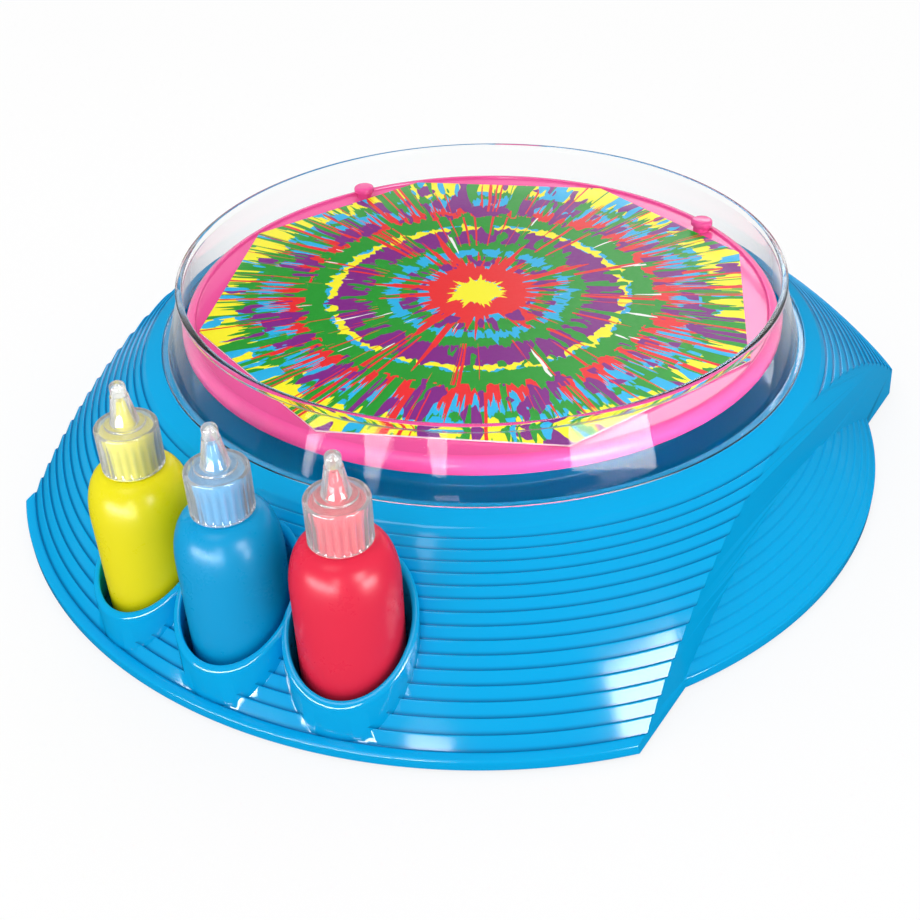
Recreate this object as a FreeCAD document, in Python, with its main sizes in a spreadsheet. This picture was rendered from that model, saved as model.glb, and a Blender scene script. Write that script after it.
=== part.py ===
import FreeCAD, Part
import math
import os
import re
import Sketcher

# Tabletop spin art machine.  Millimetres, +Z up.  The origin is on the spindle's axis at the height of
# the surface that the rubber feet stand on, and -Y is the user's side.  A ribbed dome of moulded plastic
# carries a splash bowl, three bottle cups and two arched recesses.  Below the bowl a motor turns the round
# turntable through two pairs of spur gears.

SIZES = {
    # octagonal paint card, the pegs beside it and the turntable's lip round it
    "CardApothem": 85.6, "CardThickness": 0.8, "CardAngle": 13.4, "CardGap": 0.05, "CardPlay": 0.65,
    "PegStandoff": 5.3, "PegAngle": 27.5, "PegStem": 2.9, "PegHead": 3.75, "PegHeadHeight": 2.2,
    "PegStemHeight": 1.9, "LipWidth": 3.7, "LipRise": 0.9,
    # turntable's shell, hub and ribs
    "TrayLift": 10.4, "TrayShell": 2.0, "TraySkirt": 4.0, "TrayRound": 3.0, "HubRadius": 8.0,
    "HubFloor": 3.2, "TrayRibs": 12, "TrayRibWidth": 1.4, "TrayRibDepth": 2.6, "ScrewHeadRadius": 3.4,
    # splash bowl, the plateau in its middle and the ledge that the guard sits on
    "BowlGap": 2.0, "BowlFlare": 3.2, "SeatWidth": 3.4, "LandWidth": 5.5, "LandRise": 2.7, "SeatRise": 1.0,
    "GuardSeatDrop": 1.4, "BowlDepth": 11.1, "TroughWidth": 19.5, "PlateauSlope": 3.5, "SpindleBoss": 9.0,
    "SpindleBossRise": 2.0,
    # dome's side: its slope and bulge, the ribs on it and the band round its foot
    "DomeSlope": 41.86, "DomeBulge": 2.0, "RibCount": 16, "RibGrowth": 0.2, "RibStep": 0.9, "Wall": 2.2,
    "RimInset": 2.8, "RimCover": 1.0, "RimBottom": 0.8, "BackInset": 7.8,
    # arched recesses with their lower ribbed skirts
    "RightRecess": -34.5, "RightInset": 41.3, "LeftRecess": 155.5, "LeftInset": 35.6, "RecessDraft": 5.7,
    "SkirtArc": 149.7, "SkirtSetback": 15.6, "SkirtTurn": 20.0, "SkirtSlope": 1.14, "SkirtRibs": 11,
    "SkirtTop": 28.0, "SkirtRibStep": 0.7,
    # bottle cups
    "CupInset": 21.1, "CupMiddle": -120.6, "CupPitch": 14.2, "CupBore": 16.2, "CupWall": 2.0,
    "CupFloor": 2.2, "CupRimMiddle": 29.3, "CupRimSlope": 36.0,
    # power button and its switch
    "ButtonInset": 27.1, "ButtonAngle": 82.0, "ButtonRadius": 8.8, "ButtonRise": 13.5,
    "ButtonProud": 3.6, "ButtonTravel": 2.5, "ButtonFlange": 1.6, "ButtonFlangeWidth": 1.9,
    "GuideWall": 2.0, "GuideDepth": 11.0, "PadThickness": 2.4, "SwitchPost": 2.9, "SwitchLength": 16.0,
    "SwitchWidth": 10.0, "SwitchHeight": 8.0, "PlungerRadius": 1.6, "SpringWire": 0.6, "SpringTurns": 5,
    # base plate, feet, battery box and its door
    "PlateBottom": 1.4, "PlateThickness": 2.2, "PlateGap": 0.4, "FootRadius": 7.0, "FootInset": 1.0,
    "SupportInset": 18.1, "RecessSupportInset": 19.8, "PillarRadius": 4.2, "CellRadius": 7.25,
    "CellLength": 49.2, "CellGap": 0.5, "CellCount": 4, "BoxWall": 1.6, "BoxEnd": 3.2, "BoxX": -44.0,
    "BoxY": 6.0, "DoorThickness": 1.8, "DoorGap": 0.3, "NubRadius": 2.6, "NubHeight": 1.2,
    "ContactThickness": 0.4,
    # spindle and bushes
    "SpindleRadius": 2.5, "SpindleTail": 1.95, "BushRadius": 5.0, "BushFlange": 6.6,
    "BushFlangeHeight": 1.2, "RunningFit": 0.05, "SeatGap": 0.25,
    # splash guard
    "GuardGap": 0.6, "GuardLean": 2.0, "GuardHeight": 22.2, "GuardWall": 1.6, "GuardBead": 1.1,
    "GuardFit": 0.25,
    # gears: module, teeth, tooth shape, widths and gaps
    "GearModule": 0.8, "PinionTeeth": 10, "WheelTeeth": 30, "SmallTeeth": 12, "MainTeeth": 36,
    "PressureAngle": 20.0, "WheelAddendum": 0.55, "PinionAddendum": 0.9, "Dedendum": 1.2,
    "Backlash": 0.16, "IdlerAngle": 90.0, "MotorTurn": -80.0, "GearGap": 0.7, "WheelWidth": 2.6,
    "MainWidth": 2.6, "PinionWidth": 3.6, "GearStep": 0.5, "GearRoof": 2.0, "IdlerPinRadius": 1.5,
    # motor and gear plate
    "MotorRadius": 10.0, "MotorFlat": 7.6, "MotorLength": 25.0, "MotorClearance": 2.4, "ShaftRadius": 1.0,
    "GearPlateThickness": 2.0, "GearPlateMargin": 7.0, "PostRadius": 3.6, "PostReach": 27.0,
    # bottles, their nozzles and caps
    "BottleRadius": 14.3, "BottleWall": 1.0, "BottleBody": 40.0, "BottleHeight": 54.0,
    "BottleRound": 2.0, "NeckRadius": 6.9, "NeckHeight": 11.5, "ShoulderRound": 15.2,
    "CapRadius": 8.4, "CapHeight": 13.0, "CapWall": 1.0, "CapFlutes": 24, "FluteDepth": 0.45,
    "SpoutFoot": 3.8, "SpoutTip": 2.1, "SpoutHeight": 12.6, "SpoutWall": 0.8, "NozzleHeight": 9.0,
    "NozzleTip": 1.1, "NozzleBore": 0.5, "CapGap": 0.3, "BottleFloorGap": 0.2,
    # screws
    "ScrewHead": 2.7, "ScrewHeadHeight": 1.5, "ScrewShank": 1.4, "ScrewLength": 9.0, "ScrewBoreDepth": 7.0,
}
CUP_NAMES = ["red", "blue", "yellow"]
SUPPORT_ANGLES = [20.0, 100.0, 204.0, 274.0]
POST_ANGLES = [150.0, 270.0, 15.0]

doc = FreeCAD.newDocument("SpinArtMachine")
sheet = doc.addObject("Spreadsheet::Sheet", "Sizes")
for row, (alias, size) in enumerate(SIZES.items(), start=1):
    sheet.set("A%d" % row, alias)
    sheet.set("B%d" % row, str(size))
    sheet.setAlias("B%d" % row, alias)
doc.recompute()
nodes = []


def in_sheet(text):
    """Expression text with each size's name pointing at its cell in the sheet."""
    return re.sub(r"\b[A-Z]\w+", r"Sizes.\g<0>", str(text))


def size(text):
    """The number that an expression of sheet sizes has now."""
    return float(sheet.evalExpression(in_sheet(text)))


def bind(thing, prop, text):
    thing.setExpression(prop, in_sheet(text))


def keep(thing, label):
    """Marks an object as a sub-part with a file of its own."""
    thing.Label = label
    nodes.append(thing)
    return thing


def place(thing, x="0", y="0", z="0", turn="0"):
    """Binds an object's place, and its turn about Z in degrees."""
    bind(thing, "Placement.Base.x", x)
    bind(thing, "Placement.Base.y", y)
    bind(thing, "Placement.Base.z", z)
    if turn != "0":
        bind(thing, "Placement.Rotation.Angle", turn)
    return thing


# ---------------------------------------------------------------- forms made by a sketch
def origin_plane(body, role):
    return next(item for item in body.Origin.OriginFeatures if item.Role == role)


def arc_between(start, end, radius, side):
    """Minor arc from start to end, with its centre on the left (side 1) or right (side -1)."""
    chord = end - start
    left = FreeCAD.Vector(-chord.y, chord.x, 0).normalize()
    rise = math.sqrt(max(radius ** 2 - (chord.Length / 2) ** 2, 0))
    centre = (start + end) * 0.5 + left * (side * rise)
    first, last = (start, end) if side > 0 else (end, start)
    circle = Part.Circle(centre, FreeCAD.Vector(0, 0, 1), radius)
    return Part.ArcOfCircle(circle, circle.parameter(first), circle.parameter(last))


def outline(body, name, plane, corners):
    """Closed sketch.  A corner is (x, y), or (x, y, radius, side) when an arc runs up to it."""
    sketch = body.newObject("Sketcher::SketchObject", name)
    sketch.AttachmentSupport = [(origin_plane(body, plane), "")]
    sketch.MapMode = "FlatFace"
    points = [FreeCAD.Vector(size(corner[0]), size(corner[1]), 0) for corner in corners]
    ends = []
    for index, corner in enumerate(corners):
        before, here = points[index - 1], points[index]
        if len(corner) == 4:
            side = corner[3]
            sketch.addGeometry(arc_between(before, here, size(corner[2]), side), False)
            ends.append((1, 2) if side > 0 else (2, 1))
        else:
            sketch.addGeometry(Part.LineSegment(before, here), False)
            ends.append((1, 2))
    count = len(corners)
    for index in range(count):
        following = (index + 1) % count
        sketch.addConstraint(
            Sketcher.Constraint("Coincident", index, ends[index][1], following, ends[following][0]))
    for index, corner in enumerate(corners):
        for kind, axis, text in (("DistanceX", -2, corner[0]), ("DistanceY", -1, corner[1])):
            if str(text) == "0":
                sketch.addConstraint(Sketcher.Constraint("PointOnObject", index, ends[index][1], axis))
                continue
            datum = sketch.addConstraint(
                Sketcher.Constraint(kind, -1, 1, index, ends[index][1], size(text)))
            bind(sketch, "Constraints[%d]" % datum, text)
        if len(corner) == 4:
            datum = sketch.addConstraint(Sketcher.Constraint("Radius", index, size(corner[2])))
            bind(sketch, "Constraints[%d]" % datum, corner[2])
    return sketch


def turned(name, corners):
    """Body of revolution about its own Z axis, from an outline of (radius, height) corners."""
    body = doc.addObject("PartDesign::Body", name)
    sketch = outline(body, name + "_profile", "XZ_Plane", corners)
    spin = body.newObject("PartDesign::Revolution", name + "_turn")
    spin.Profile = (sketch, [""])
    spin.ReferenceAxis = (sketch, ["V_Axis"])
    spin.Angle = 360.0
    return body


def padded(name, corners, height):
    """Flat outline raised along Z."""
    body = doc.addObject("PartDesign::Body", name)
    sketch = outline(body, name + "_outline", "XY_Plane", corners)
    pad = body.newObject("PartDesign::Pad", name + "_pad")
    pad.Profile = (sketch, [""])
    bind(pad, "Length", height)
    return body


# ---------------------------------------------------------------- primitives and booleans
def cylinder(name, radius, bottom, top, x="0", y="0"):
    solid = doc.addObject("Part::Cylinder", name)
    bind(solid, "Radius", radius)
    bind(solid, "Height", "(%s) - (%s)" % (top, bottom))
    return place(solid, x, y, bottom)


def on_circle(reach, angle):
    """Expressions for the X and Y of a point at a reach and an angle."""
    return "(%s) * cos(%s)" % (reach, angle), "(%s) * sin(%s)" % (reach, angle)


def block(name, low, high):
    """Box between two corners given as expressions."""
    solid = doc.addObject("Part::Box", name)
    for prop, first, last in zip(("Length", "Width", "Height"), low, high):
        bind(solid, prop, "(%s) - (%s)" % (last, first))
    return place(solid, *low)


def radial_bar(name, start, end, width, low, high, angle):
    """Bar that runs outwards between two reaches at an angle."""
    solid = doc.addObject("Part::Box", name)
    bind(solid, "Length", "(%s) - (%s)" % (end, start))
    bind(solid, "Width", width)
    bind(solid, "Height", "(%s) - (%s)" % (high, low))
    side_x, side_y = on_circle("(%s) / 2" % width, "(%s)" % angle)
    reach_x, reach_y = on_circle(start, "(%s)" % angle)
    return place(solid, "%s + %s" % (reach_x, side_y), "%s - %s" % (reach_y, side_x), low, angle)


def cut(name, base, *tools):
    tool = tools[0] if len(tools) == 1 else fuse(name + "_tools", *tools)
    result = doc.addObject("Part::Cut", name)
    result.Base, result.Tool = base, tool
    return result


def fuse(name, *shapes):
    result = doc.addObject("Part::MultiFuse", name)
    result.Shapes = list(shapes)
    return result


def common(name, *shapes):
    result = doc.addObject("Part::MultiCommon", name)
    result.Shapes = list(shapes)
    return result


def copies(label, pattern, places):
    """One node that holds a copy of a solid at each (x, y, z)."""
    group = doc.addObject("Part::Feature", label)
    shapes = []
    for x, y, z in places:
        shape = pattern.Shape.copy()
        shape.translate(FreeCAD.Vector(x, y, z))
        shapes.append(shape)
    group.Shape = Part.makeCompound(shapes)
    return keep(group, label)


# ---------------------------------------------------------------- worked-out heights and radii
# Heights stack up from the base plate: motor, gear plate, gears, plateau, bowl's ledge and turntable.
PLATE_TOP = "(PlateBottom + PlateThickness)"
GEAR_PLATE = "(%s + MotorClearance + MotorLength)" % PLATE_TOP
GEAR_PLATE_TOP = "(%s + GearPlateThickness)" % GEAR_PLATE
GEAR_FLOOR = "(%s + GearGap)" % GEAR_PLATE_TOP
GEARS_TOP = "(%s + WheelWidth + GearStep + MainWidth)" % GEAR_FLOOR
PLATEAU_TOP = "(%s + GearRoof + Wall)" % GEARS_TOP
BOSS_TOP = "(%s + SpindleBossRise)" % PLATEAU_TOP
BUSH_TOP = "(%s + BushFlangeHeight)" % BOSS_TOP
TRAY_FACE = "(%s + TrayLift)" % PLATEAU_TOP
GUARD_SEAT = "(%s + SeatRise)" % PLATEAU_TOP
DECK = "(%s + GuardSeatDrop)" % GUARD_SEAT
BOWL_FLOOR = "(%s - BowlDepth)" % GUARD_SEAT
DOME_TOP = "(%s - LandRise)" % DECK
RIM_TOP = "(%s + RimCover)" % PLATE_TOP
DOME_HEIGHT = "(%s - %s)" % (DOME_TOP, RIM_TOP)
# Radii grow outwards from the paint card: lip, turntable, bowl, guard's ledge, dome and base.
CARD_CORNER = "(CardApothem / cos(22.5))"
LIP_RADIUS = "(%s + CardPlay)" % CARD_CORNER
TRAY_RADIUS = "(%s + LipWidth)" % LIP_RADIUS
BOWL_RADIUS = "(%s + BowlGap)" % TRAY_RADIUS
BOWL_TOP_RADIUS = "(%s + BowlFlare)" % BOWL_RADIUS
SEAT_RADIUS = "(%s + SeatWidth)" % BOWL_TOP_RADIUS
LAND_RADIUS = "(%s + LandWidth)" % SEAT_RADIUS
DOME_WIDTH = "(%s / tan(DomeSlope))" % DOME_HEIGHT
BASE_RADIUS = "(%s + %s + RimInset)" % (LAND_RADIUS, DOME_WIDTH)
PLATEAU_RADIUS = "(%s - TroughWidth)" % TRAY_RADIUS
FAR = "(%s * 2)" % BASE_RADIUS

# ---------------------------------------------------------------- housing
# Each recess is a drafted flat cut through the dome, with its facing angle and its reach.
RECESSES = {"right": ("RightRecess", "(%s - RightInset)" % BASE_RADIUS),
            "left": ("LeftRecess", "(%s - LeftInset)" % BASE_RADIUS)}


def dome_point(step, depth):
    """Point on the dome's slightly bulging slope at a rib's edge, moved inwards by a depth.

    The ribs grow wider towards the foot, so a rib's share of the slope rises faster than its count.
    """
    count = "(%d / RibCount)" % step
    share = "(%s * (1 - RibGrowth * (1 - %s)))" % (count, count)
    rise = "(DomeBulge * 4 * %s * (1 - %s) - (%s))" % (share, share, depth)
    return ("%s + %s * %s + %s * sin(DomeSlope)" % (LAND_RADIUS, DOME_WIDTH, share, rise),
            "%s - %s * %s + %s * cos(DomeSlope)" % (DOME_TOP, DOME_HEIGHT, share, rise))


def rib_edges():
    edges = [dome_point(0, "0")]
    for step in range(1, int(size("RibCount")) + 1):
        edges += [dome_point(step, "RibStep"), dome_point(step, "0")]
    return edges


def beyond_plane(name, angle, reach, draft):
    """Block that fills everything beyond a plane which stands at a reach and leans inwards by a draft."""
    solid = doc.addObject("Part::Box", name)
    bind(solid, "Length", FAR)
    bind(solid, "Width", FAR + " * 2")
    bind(solid, "Height", FAR + " * 2")
    facing = FreeCAD.Rotation(FreeCAD.Vector(0, 0, 1), size(angle))
    turn = facing * FreeCAD.Rotation(FreeCAD.Vector(0, 1, 0), -size(draft))
    foot = facing.multVec(FreeCAD.Vector(size(reach), 0, 0))
    solid.Placement = FreeCAD.Placement(foot - turn.multVec(FreeCAD.Vector(0, size(FAR), size(FAR))), turn)
    return solid


def beyond_recess(name, side, setback):
    angle, reach = RECESSES[side]
    return beyond_plane(side + name, angle, "%s - (%s)" % (reach, setback), "RecessDraft")


def footprint(name, setback):
    """Limit of the base in plan: behind the recesses its rim is set in, and in front it is free."""
    return fuse(name, beyond_plane(name + "_front", "CupMiddle", "0", "0"),
                cylinder(name + "_back", "%s - BackInset - (%s)" % (BASE_RADIUS, setback),
                         "0 - " + FAR, FAR))


dome_outer = common("dome_outer", footprint("dome_footprint", "0"), turned("dome_form", [
    ("0", "RimBottom"), ("0", BOSS_TOP), ("SpindleBoss", BOSS_TOP), ("SpindleBoss", PLATEAU_TOP),
    (PLATEAU_RADIUS, PLATEAU_TOP), (PLATEAU_RADIUS + " + PlateauSlope", BOWL_FLOOR),
    (BOWL_RADIUS, BOWL_FLOOR), (BOWL_TOP_RADIUS, GUARD_SEAT), (SEAT_RADIUS, GUARD_SEAT),
    (SEAT_RADIUS, DECK)] + rib_edges() + [(BASE_RADIUS, "RimBottom")]))
SHELL = "Wall + RibStep"
INNER_FOOT = dome_point(size("RibCount"), SHELL)
dome_inner = common("dome_inner", footprint("hollow_footprint", "Wall"), turned("hollow_form", [
    ("0", "RimBottom - Wall"), ("0", PLATEAU_TOP + " - Wall"),
    (PLATEAU_RADIUS + " - Wall", PLATEAU_TOP + " - Wall"),
    (PLATEAU_RADIUS + " + PlateauSlope - Wall", BOWL_FLOOR + " - Wall"),
    (BOWL_RADIUS + " + Wall", BOWL_FLOOR + " - Wall"),
    (BOWL_TOP_RADIUS + " + Wall", GUARD_SEAT + " - Wall"),
    (dome_point(0, SHELL)[0], GUARD_SEAT + " - Wall"), dome_point(size("RibCount / 2"), SHELL),
    INNER_FOOT, (INNER_FOOT[0] + " + RimInset", "RimBottom - Wall")]))

# The lower part of each recess is closed again by a ribbed skirt, a shallow cone whose axis is set back
# behind the spindle, turned towards the back of the base.
SKIRT_TURNS = {"right": "(RightRecess + 180 + SkirtTurn)", "left": "(LeftRecess + 180 - SkirtTurn)"}
SKIRT_PITCH = "(SkirtTop - %s) / SkirtRibs" % RIM_TOP
SKIRT_IN = "SkirtArc - " + SHELL


def skirt_edges():
    edges = [("SkirtArc", "RimBottom"), ("SkirtArc", RIM_TOP)]
    for step in range(int(size("SkirtRibs"))):
        low, high = ("%s * %d" % (SKIRT_PITCH, part) for part in (step, step + 1))
        edges += [("SkirtArc - SkirtSlope * %s - SkirtRibStep" % low, RIM_TOP + " + " + low),
                  ("SkirtArc - SkirtSlope * %s" % high, RIM_TOP + " + " + high)]
    return edges


def skirt_axis(side):
    return on_circle("SkirtSetback", SKIRT_TURNS[side])


dome_cuts, skirts, hollow_cuts, skirt_hollows = [], [], [], []
for side in RECESSES:
    outer = place(turned(side + "_skirt", [("0", "RimBottom")] + skirt_edges() + [("0", "SkirtTop")]),
                  *skirt_axis(side))
    inner = place(turned(side + "_skirt_hollow", [
        ("0", "RimBottom - Wall"), (SKIRT_IN, "RimBottom - Wall"), (SKIRT_IN, RIM_TOP + " - Wall"),
        (SKIRT_IN + " - SkirtSlope * (SkirtTop - %s)" % RIM_TOP, "SkirtTop - Wall"),
        ("0", "SkirtTop - Wall")]), *skirt_axis(side))
    dome_cuts.append(beyond_recess("_recess_cut", side, "0"))
    skirts.append(common(side + "_skirt_bulge", outer, beyond_recess("_recess_fill", side, "0")))
    hollow_cuts.append(beyond_recess("_hollow_cut", side, "Wall"))
    skirt_hollows.append(common(side + "_hollow_bulge", inner, beyond_recess("_hollow_fill", side, SHELL)))
outside = fuse("housing_outside", cut("dome_faced", dome_outer, *dome_cuts), *skirts)
hollow = fuse("housing_hollow", cut("hollow_faced", dome_inner, *hollow_cuts), *skirt_hollows)
shell = cut("housing_walls", outside, hollow)

# Cups: upright tubes whose rims slope down towards the front, so neighbours meet in a cusp.
CUP_REACH = "(%s - CupInset)" % BASE_RADIUS
CUP_ANGLES = ["(CupMiddle + CupPitch * %d)" % (1 - index) for index in range(len(CUP_NAMES))]
cup_centres = [on_circle(CUP_REACH, angle) for angle in CUP_ANGLES]
cup_walls, cup_bores = [], []
for index, (name, centre) in enumerate(zip(CUP_NAMES, cup_centres)):
    column = cylinder("%s_cup_column" % name, "CupBore + CupWall", "RimBottom",
                      "CupRimMiddle + CupBore * 2", *centre)
    rim_cut = doc.addObject("Part::Box", "%s_cup_rim_cut" % name)
    for prop in ("Length", "Width", "Height"):
        bind(rim_cut, prop, "CupBore * 6")
    facing = FreeCAD.Rotation(FreeCAD.Vector(0, 0, 1), size(CUP_ANGLES[index]))
    tilt = facing * FreeCAD.Rotation(FreeCAD.Vector(0, 1, 0), size("CupRimSlope"))
    corner = FreeCAD.Vector(-size("CupBore * 3"), -size("CupBore * 3"), 0)
    middle = FreeCAD.Vector(size(centre[0]), size(centre[1]), size("CupRimMiddle"))
    rim_cut.Placement = FreeCAD.Placement(middle + tilt.multVec(corner), tilt)
    cup_walls.append(cut("%s_cup_wall" % name, column, rim_cut))
    cup_bores.append(cylinder("%s_cup_bore" % name, "CupBore", "RimBottom + CupFloor", FAR,
                              *centre))

# Button well: a flat pad sunk in the back of the dome, with a guide tube for the button below it.
BUTTON = on_circle("(%s - ButtonInset)" % BASE_RADIUS, "ButtonAngle")
SWITCH_TOP = "(%s + SwitchPost + SwitchHeight)" % PLATE_TOP
BUTTON_PAD = "(%s + ButtonRise)" % SWITCH_TOP
WELL = "ButtonRadius + ButtonFlangeWidth + GuideWall"
well_column = common("button_well_column", dome_outer,
                     cylinder("button_well_post", WELL + " + GuideWall",
                              BUTTON_PAD + " - GuideDepth", FAR, *BUTTON))
guide_tube = cylinder("button_guide", WELL, BUTTON_PAD + " - GuideDepth", BUTTON_PAD, *BUTTON)
well_recess = cylinder("button_well_recess", WELL, BUTTON_PAD, FAR, *BUTTON)
button_hole = cylinder("button_hole", "ButtonRadius + RunningFit * 4", "0", FAR, *BUTTON)
flange_bore = cylinder("button_flange_bore", "ButtonRadius + ButtonFlangeWidth + RunningFit * 4", "0",
                       BUTTON_PAD + " - PadThickness", *BUTTON)

# Pillars take the base screws; posts under the plateau carry the gear plate.
SUPPORT_REACH = "(%s - SupportInset)" % BASE_RADIUS
support_places = [on_circle(SUPPORT_REACH, str(angle)) for angle in SUPPORT_ANGLES]
support_places += [on_circle("(%s - RecessSupportInset)" % reach, angle)
                   for angle, reach in RECESSES.values()]
pillars = common("pillars", dome_outer, fuse("pillar_columns", *[
    cylinder("pillar_%d" % index, "PillarRadius", PLATE_TOP, PLATEAU_TOP, *spot)
    for index, spot in enumerate(support_places)]))
pillar_bores = [cylinder("pillar_bore_%d" % index, "ScrewShank", "0", PLATE_TOP + " + ScrewLength", *spot)
                for index, spot in enumerate(support_places)]
BUSH_BOTTOM = PLATEAU_TOP + " - Wall"
post_places = [on_circle("PostReach", str(angle)) for angle in POST_ANGLES]
posts = [cylinder("gear_post_%d" % index, "PostRadius", GEAR_PLATE_TOP, BUSH_BOTTOM, *spot)
         for index, spot in enumerate(post_places)]
post_bores = [cylinder("gear_post_bore_%d" % index, "ScrewShank", GEAR_PLATE_TOP, BUSH_BOTTOM, *spot)
              for index, spot in enumerate(post_places)]
bush_bore = cylinder("upper_bush_bore", "BushRadius + RunningFit", GEAR_PLATE, FAR)

built = fuse("housing_built", shell, well_column, guide_tube, pillars, *(cup_walls + posts))
keep(cut("housing_cut", built, well_recess, button_hole, flange_bore, bush_bore,
         *(cup_bores + pillar_bores + post_bores)), "housing_shell")

# ---------------------------------------------------------------- base plate, feet, battery box, door
BOX_IN = ("CellLength / 2 + BoxEnd", "CellCount * (CellRadius + CellGap / 2)")
CELL_Z = PLATE_TOP + " + CellRadius + CellGap"
BOX_TOP = PLATE_TOP + " + CellRadius * 2 + CellGap * 2"


def box_corners(grow):
    low = ("BoxX - (%s) - (%s)" % (BOX_IN[1], grow), "BoxY - (%s) - (%s)" % (BOX_IN[0], grow))
    high = ("BoxX + (%s) + (%s)" % (BOX_IN[1], grow), "BoxY + (%s) + (%s)" % (BOX_IN[0], grow))
    return low, high


# The plate keeps clear of the housing's walls, which lean inwards above the rim, at its top face.
PLATE_EDGE = "Wall + PlateGap"
PLATE_RADIUS = "%s - (%s - (%s)) / tan(DomeSlope) - PlateGap" % (INNER_FOOT[0], PLATE_TOP, INNER_FOOT[1])
SKIRT_PLATE = "%s - SkirtSlope * (Wall - RimCover) - PlateGap" % SKIRT_IN
plate_disc = common("plate_disc", footprint("plate_footprint", PLATE_EDGE),
                    cylinder("plate_round", PLATE_RADIUS, "PlateBottom", PLATE_TOP))
plate_bulges = [
    common(side + "_plate_bulge", beyond_recess("_plate_fill", side, PLATE_EDGE + " + PlateGap"),
           cylinder(side + "_plate_skirt", SKIRT_PLATE, "PlateBottom", PLATE_TOP, *skirt_axis(side)))
    for side in RECESSES]
plate_space = fuse("plate_space", cut("plate_cut", plate_disc, *[
    beyond_recess("_plate_cut", side, PLATE_EDGE) for side in RECESSES]), *plate_bulges)
low, high = box_corners("BoxWall")
battery_walls = block("battery_walls", low + ("PlateBottom",), high + (BOX_TOP + " + BoxWall",))
low, high = box_corners("0")
battery_space = block("battery_space", low + ("PlateBottom - Wall",), high + (BOX_TOP,))
low, high = box_corners("BoxWall / 2")
door_rebate = block("door_rebate", low + ("PlateBottom - Wall",),
                    high + ("PlateBottom + DoorThickness + DoorGap / 2",))
CUP_GAP = "CupBore + CupWall + PlateGap"
cup_clearances = [cylinder("plate_cup_gap_%d" % index, CUP_GAP, "0", FAR, *centre)
                  for index, centre in enumerate(cup_centres)]
cup_clearances += [
    cylinder("plate_cusp_gap_%d" % index, CUP_GAP + " + CupWall / 2", "0", FAR,
             *on_circle("(%s + CupBore)" % CUP_REACH, "(CupMiddle + CupPitch * (0.5 - %d))" % index))
    for index in range(len(CUP_NAMES) - 1)]
screw_holes = [cylinder("plate_screw_hole_%d" % index, "ScrewShank + RunningFit * 2", "0", FAR,
                        *spot) for index, spot in enumerate(support_places)]
head_pockets = [cylinder("plate_head_pocket_%d" % index, "ScrewHead + RunningFit * 4", "0",
                         "PlateBottom + ScrewHeadHeight / 2", *spot)
                for index, spot in enumerate(support_places)]
switch_post = cylinder("switch_post", "SwitchWidth / 2", PLATE_TOP, PLATE_TOP + " + SwitchPost", *BUTTON)
base_solid = fuse("base_solid", plate_space, battery_walls, switch_post)
keep(cut("base_plate_cut", base_solid, battery_space, door_rebate,
         *(cup_clearances + screw_holes + head_pockets)), "base_plate")

low, high = box_corners("BoxWall / 2 - DoorGap")
door_sheet = block("door_sheet", low + ("PlateBottom",), high + ("PlateBottom + DoorThickness",))
finger_grips = [block("door_grip_%d" % index,
                      ("BoxX - CellRadius", "BoxY + CellRadius * %d" % index, "PlateBottom"),
                      ("BoxX + CellRadius", "BoxY + CellRadius * %d + BoxWall" % index,
                       "PlateBottom + DoorThickness / 3")) for index in (1, 2)]
keep(cut("battery_door_cut", door_sheet, *finger_grips), "battery_door")

# Feet: one in the middle, where the plate would drum, one near each pillar and one in each recess.
foot = turned("foot_pattern", [
    ("0", "0"), ("FootRadius - FootInset", "0"), ("FootRadius", "FootInset / 2"),
    ("FootRadius", "PlateBottom"), ("0", "PlateBottom")])
doc.recompute()
foot_reach = size(SUPPORT_REACH + " - FootRadius * 2.2")
foot_spots = [(0, 0)] + [(foot_reach, angle) for angle in SUPPORT_ANGLES]
foot_spots += [(size(reach + " - RecessSupportInset + FootRadius * 1.8"), size(angle))
               for angle, reach in RECESSES.values()]
copies("rubber_feet", foot, [
    (reach * math.cos(math.radians(angle)), reach * math.sin(math.radians(angle)), 0)
    for reach, angle in foot_spots])

# Screws: pan head below, shank upwards.
screw = turned("screw_pattern", [
    ("0", "0"), ("ScrewHead - ScrewHeadHeight / 3", "0"), ("ScrewHead", "ScrewHeadHeight / 3"),
    ("ScrewHead", "ScrewHeadHeight"), ("ScrewShank - RunningFit / 2", "ScrewHeadHeight"),
    ("ScrewShank - RunningFit / 2", "ScrewHeadHeight + ScrewLength - ScrewShank"),
    ("0", "ScrewHeadHeight + ScrewLength")])
doc.recompute()


def spots(places, height):
    return [(size(x), size(y), size(height)) for x, y in places]


copies("base_screws", screw, spots(support_places, "PlateBottom - ScrewHeadHeight / 2"))
copies("gear_plate_screws", screw, spots(post_places, GEAR_PLATE + " - ScrewHeadHeight"))

# Cells lie side by side along Y with their ends turned about, and plates with springs join them.
cell = turned("cell_pattern", [
    ("0", "0"), ("CellRadius", "0"), ("CellRadius", "CellLength"), ("NubRadius", "CellLength"),
    ("NubRadius", "CellLength + NubHeight"), ("0", "CellLength + NubHeight")])
doc.recompute()
cell_group = doc.addObject("Part::Feature", "battery_cells")
contact_group = doc.addObject("Part::Feature", "battery_contacts")
cells, contacts = [], []
pitch = size("CellRadius * 2 + CellGap")
left = size("BoxX") - pitch * (size("CellCount") - 1) / 2
for index in range(int(size("CellCount"))):
    facing = 1 if index % 2 == 0 else -1
    turn = FreeCAD.Rotation(FreeCAD.Vector(1, 0, 0), -90 * facing)
    start = FreeCAD.Vector(left + pitch * index, size("BoxY - CellLength / 2 * %d" % facing), size(CELL_Z))
    shape = cell.Shape.copy()
    shape.Placement = FreeCAD.Placement(start, turn)
    cells.append(shape)
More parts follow.
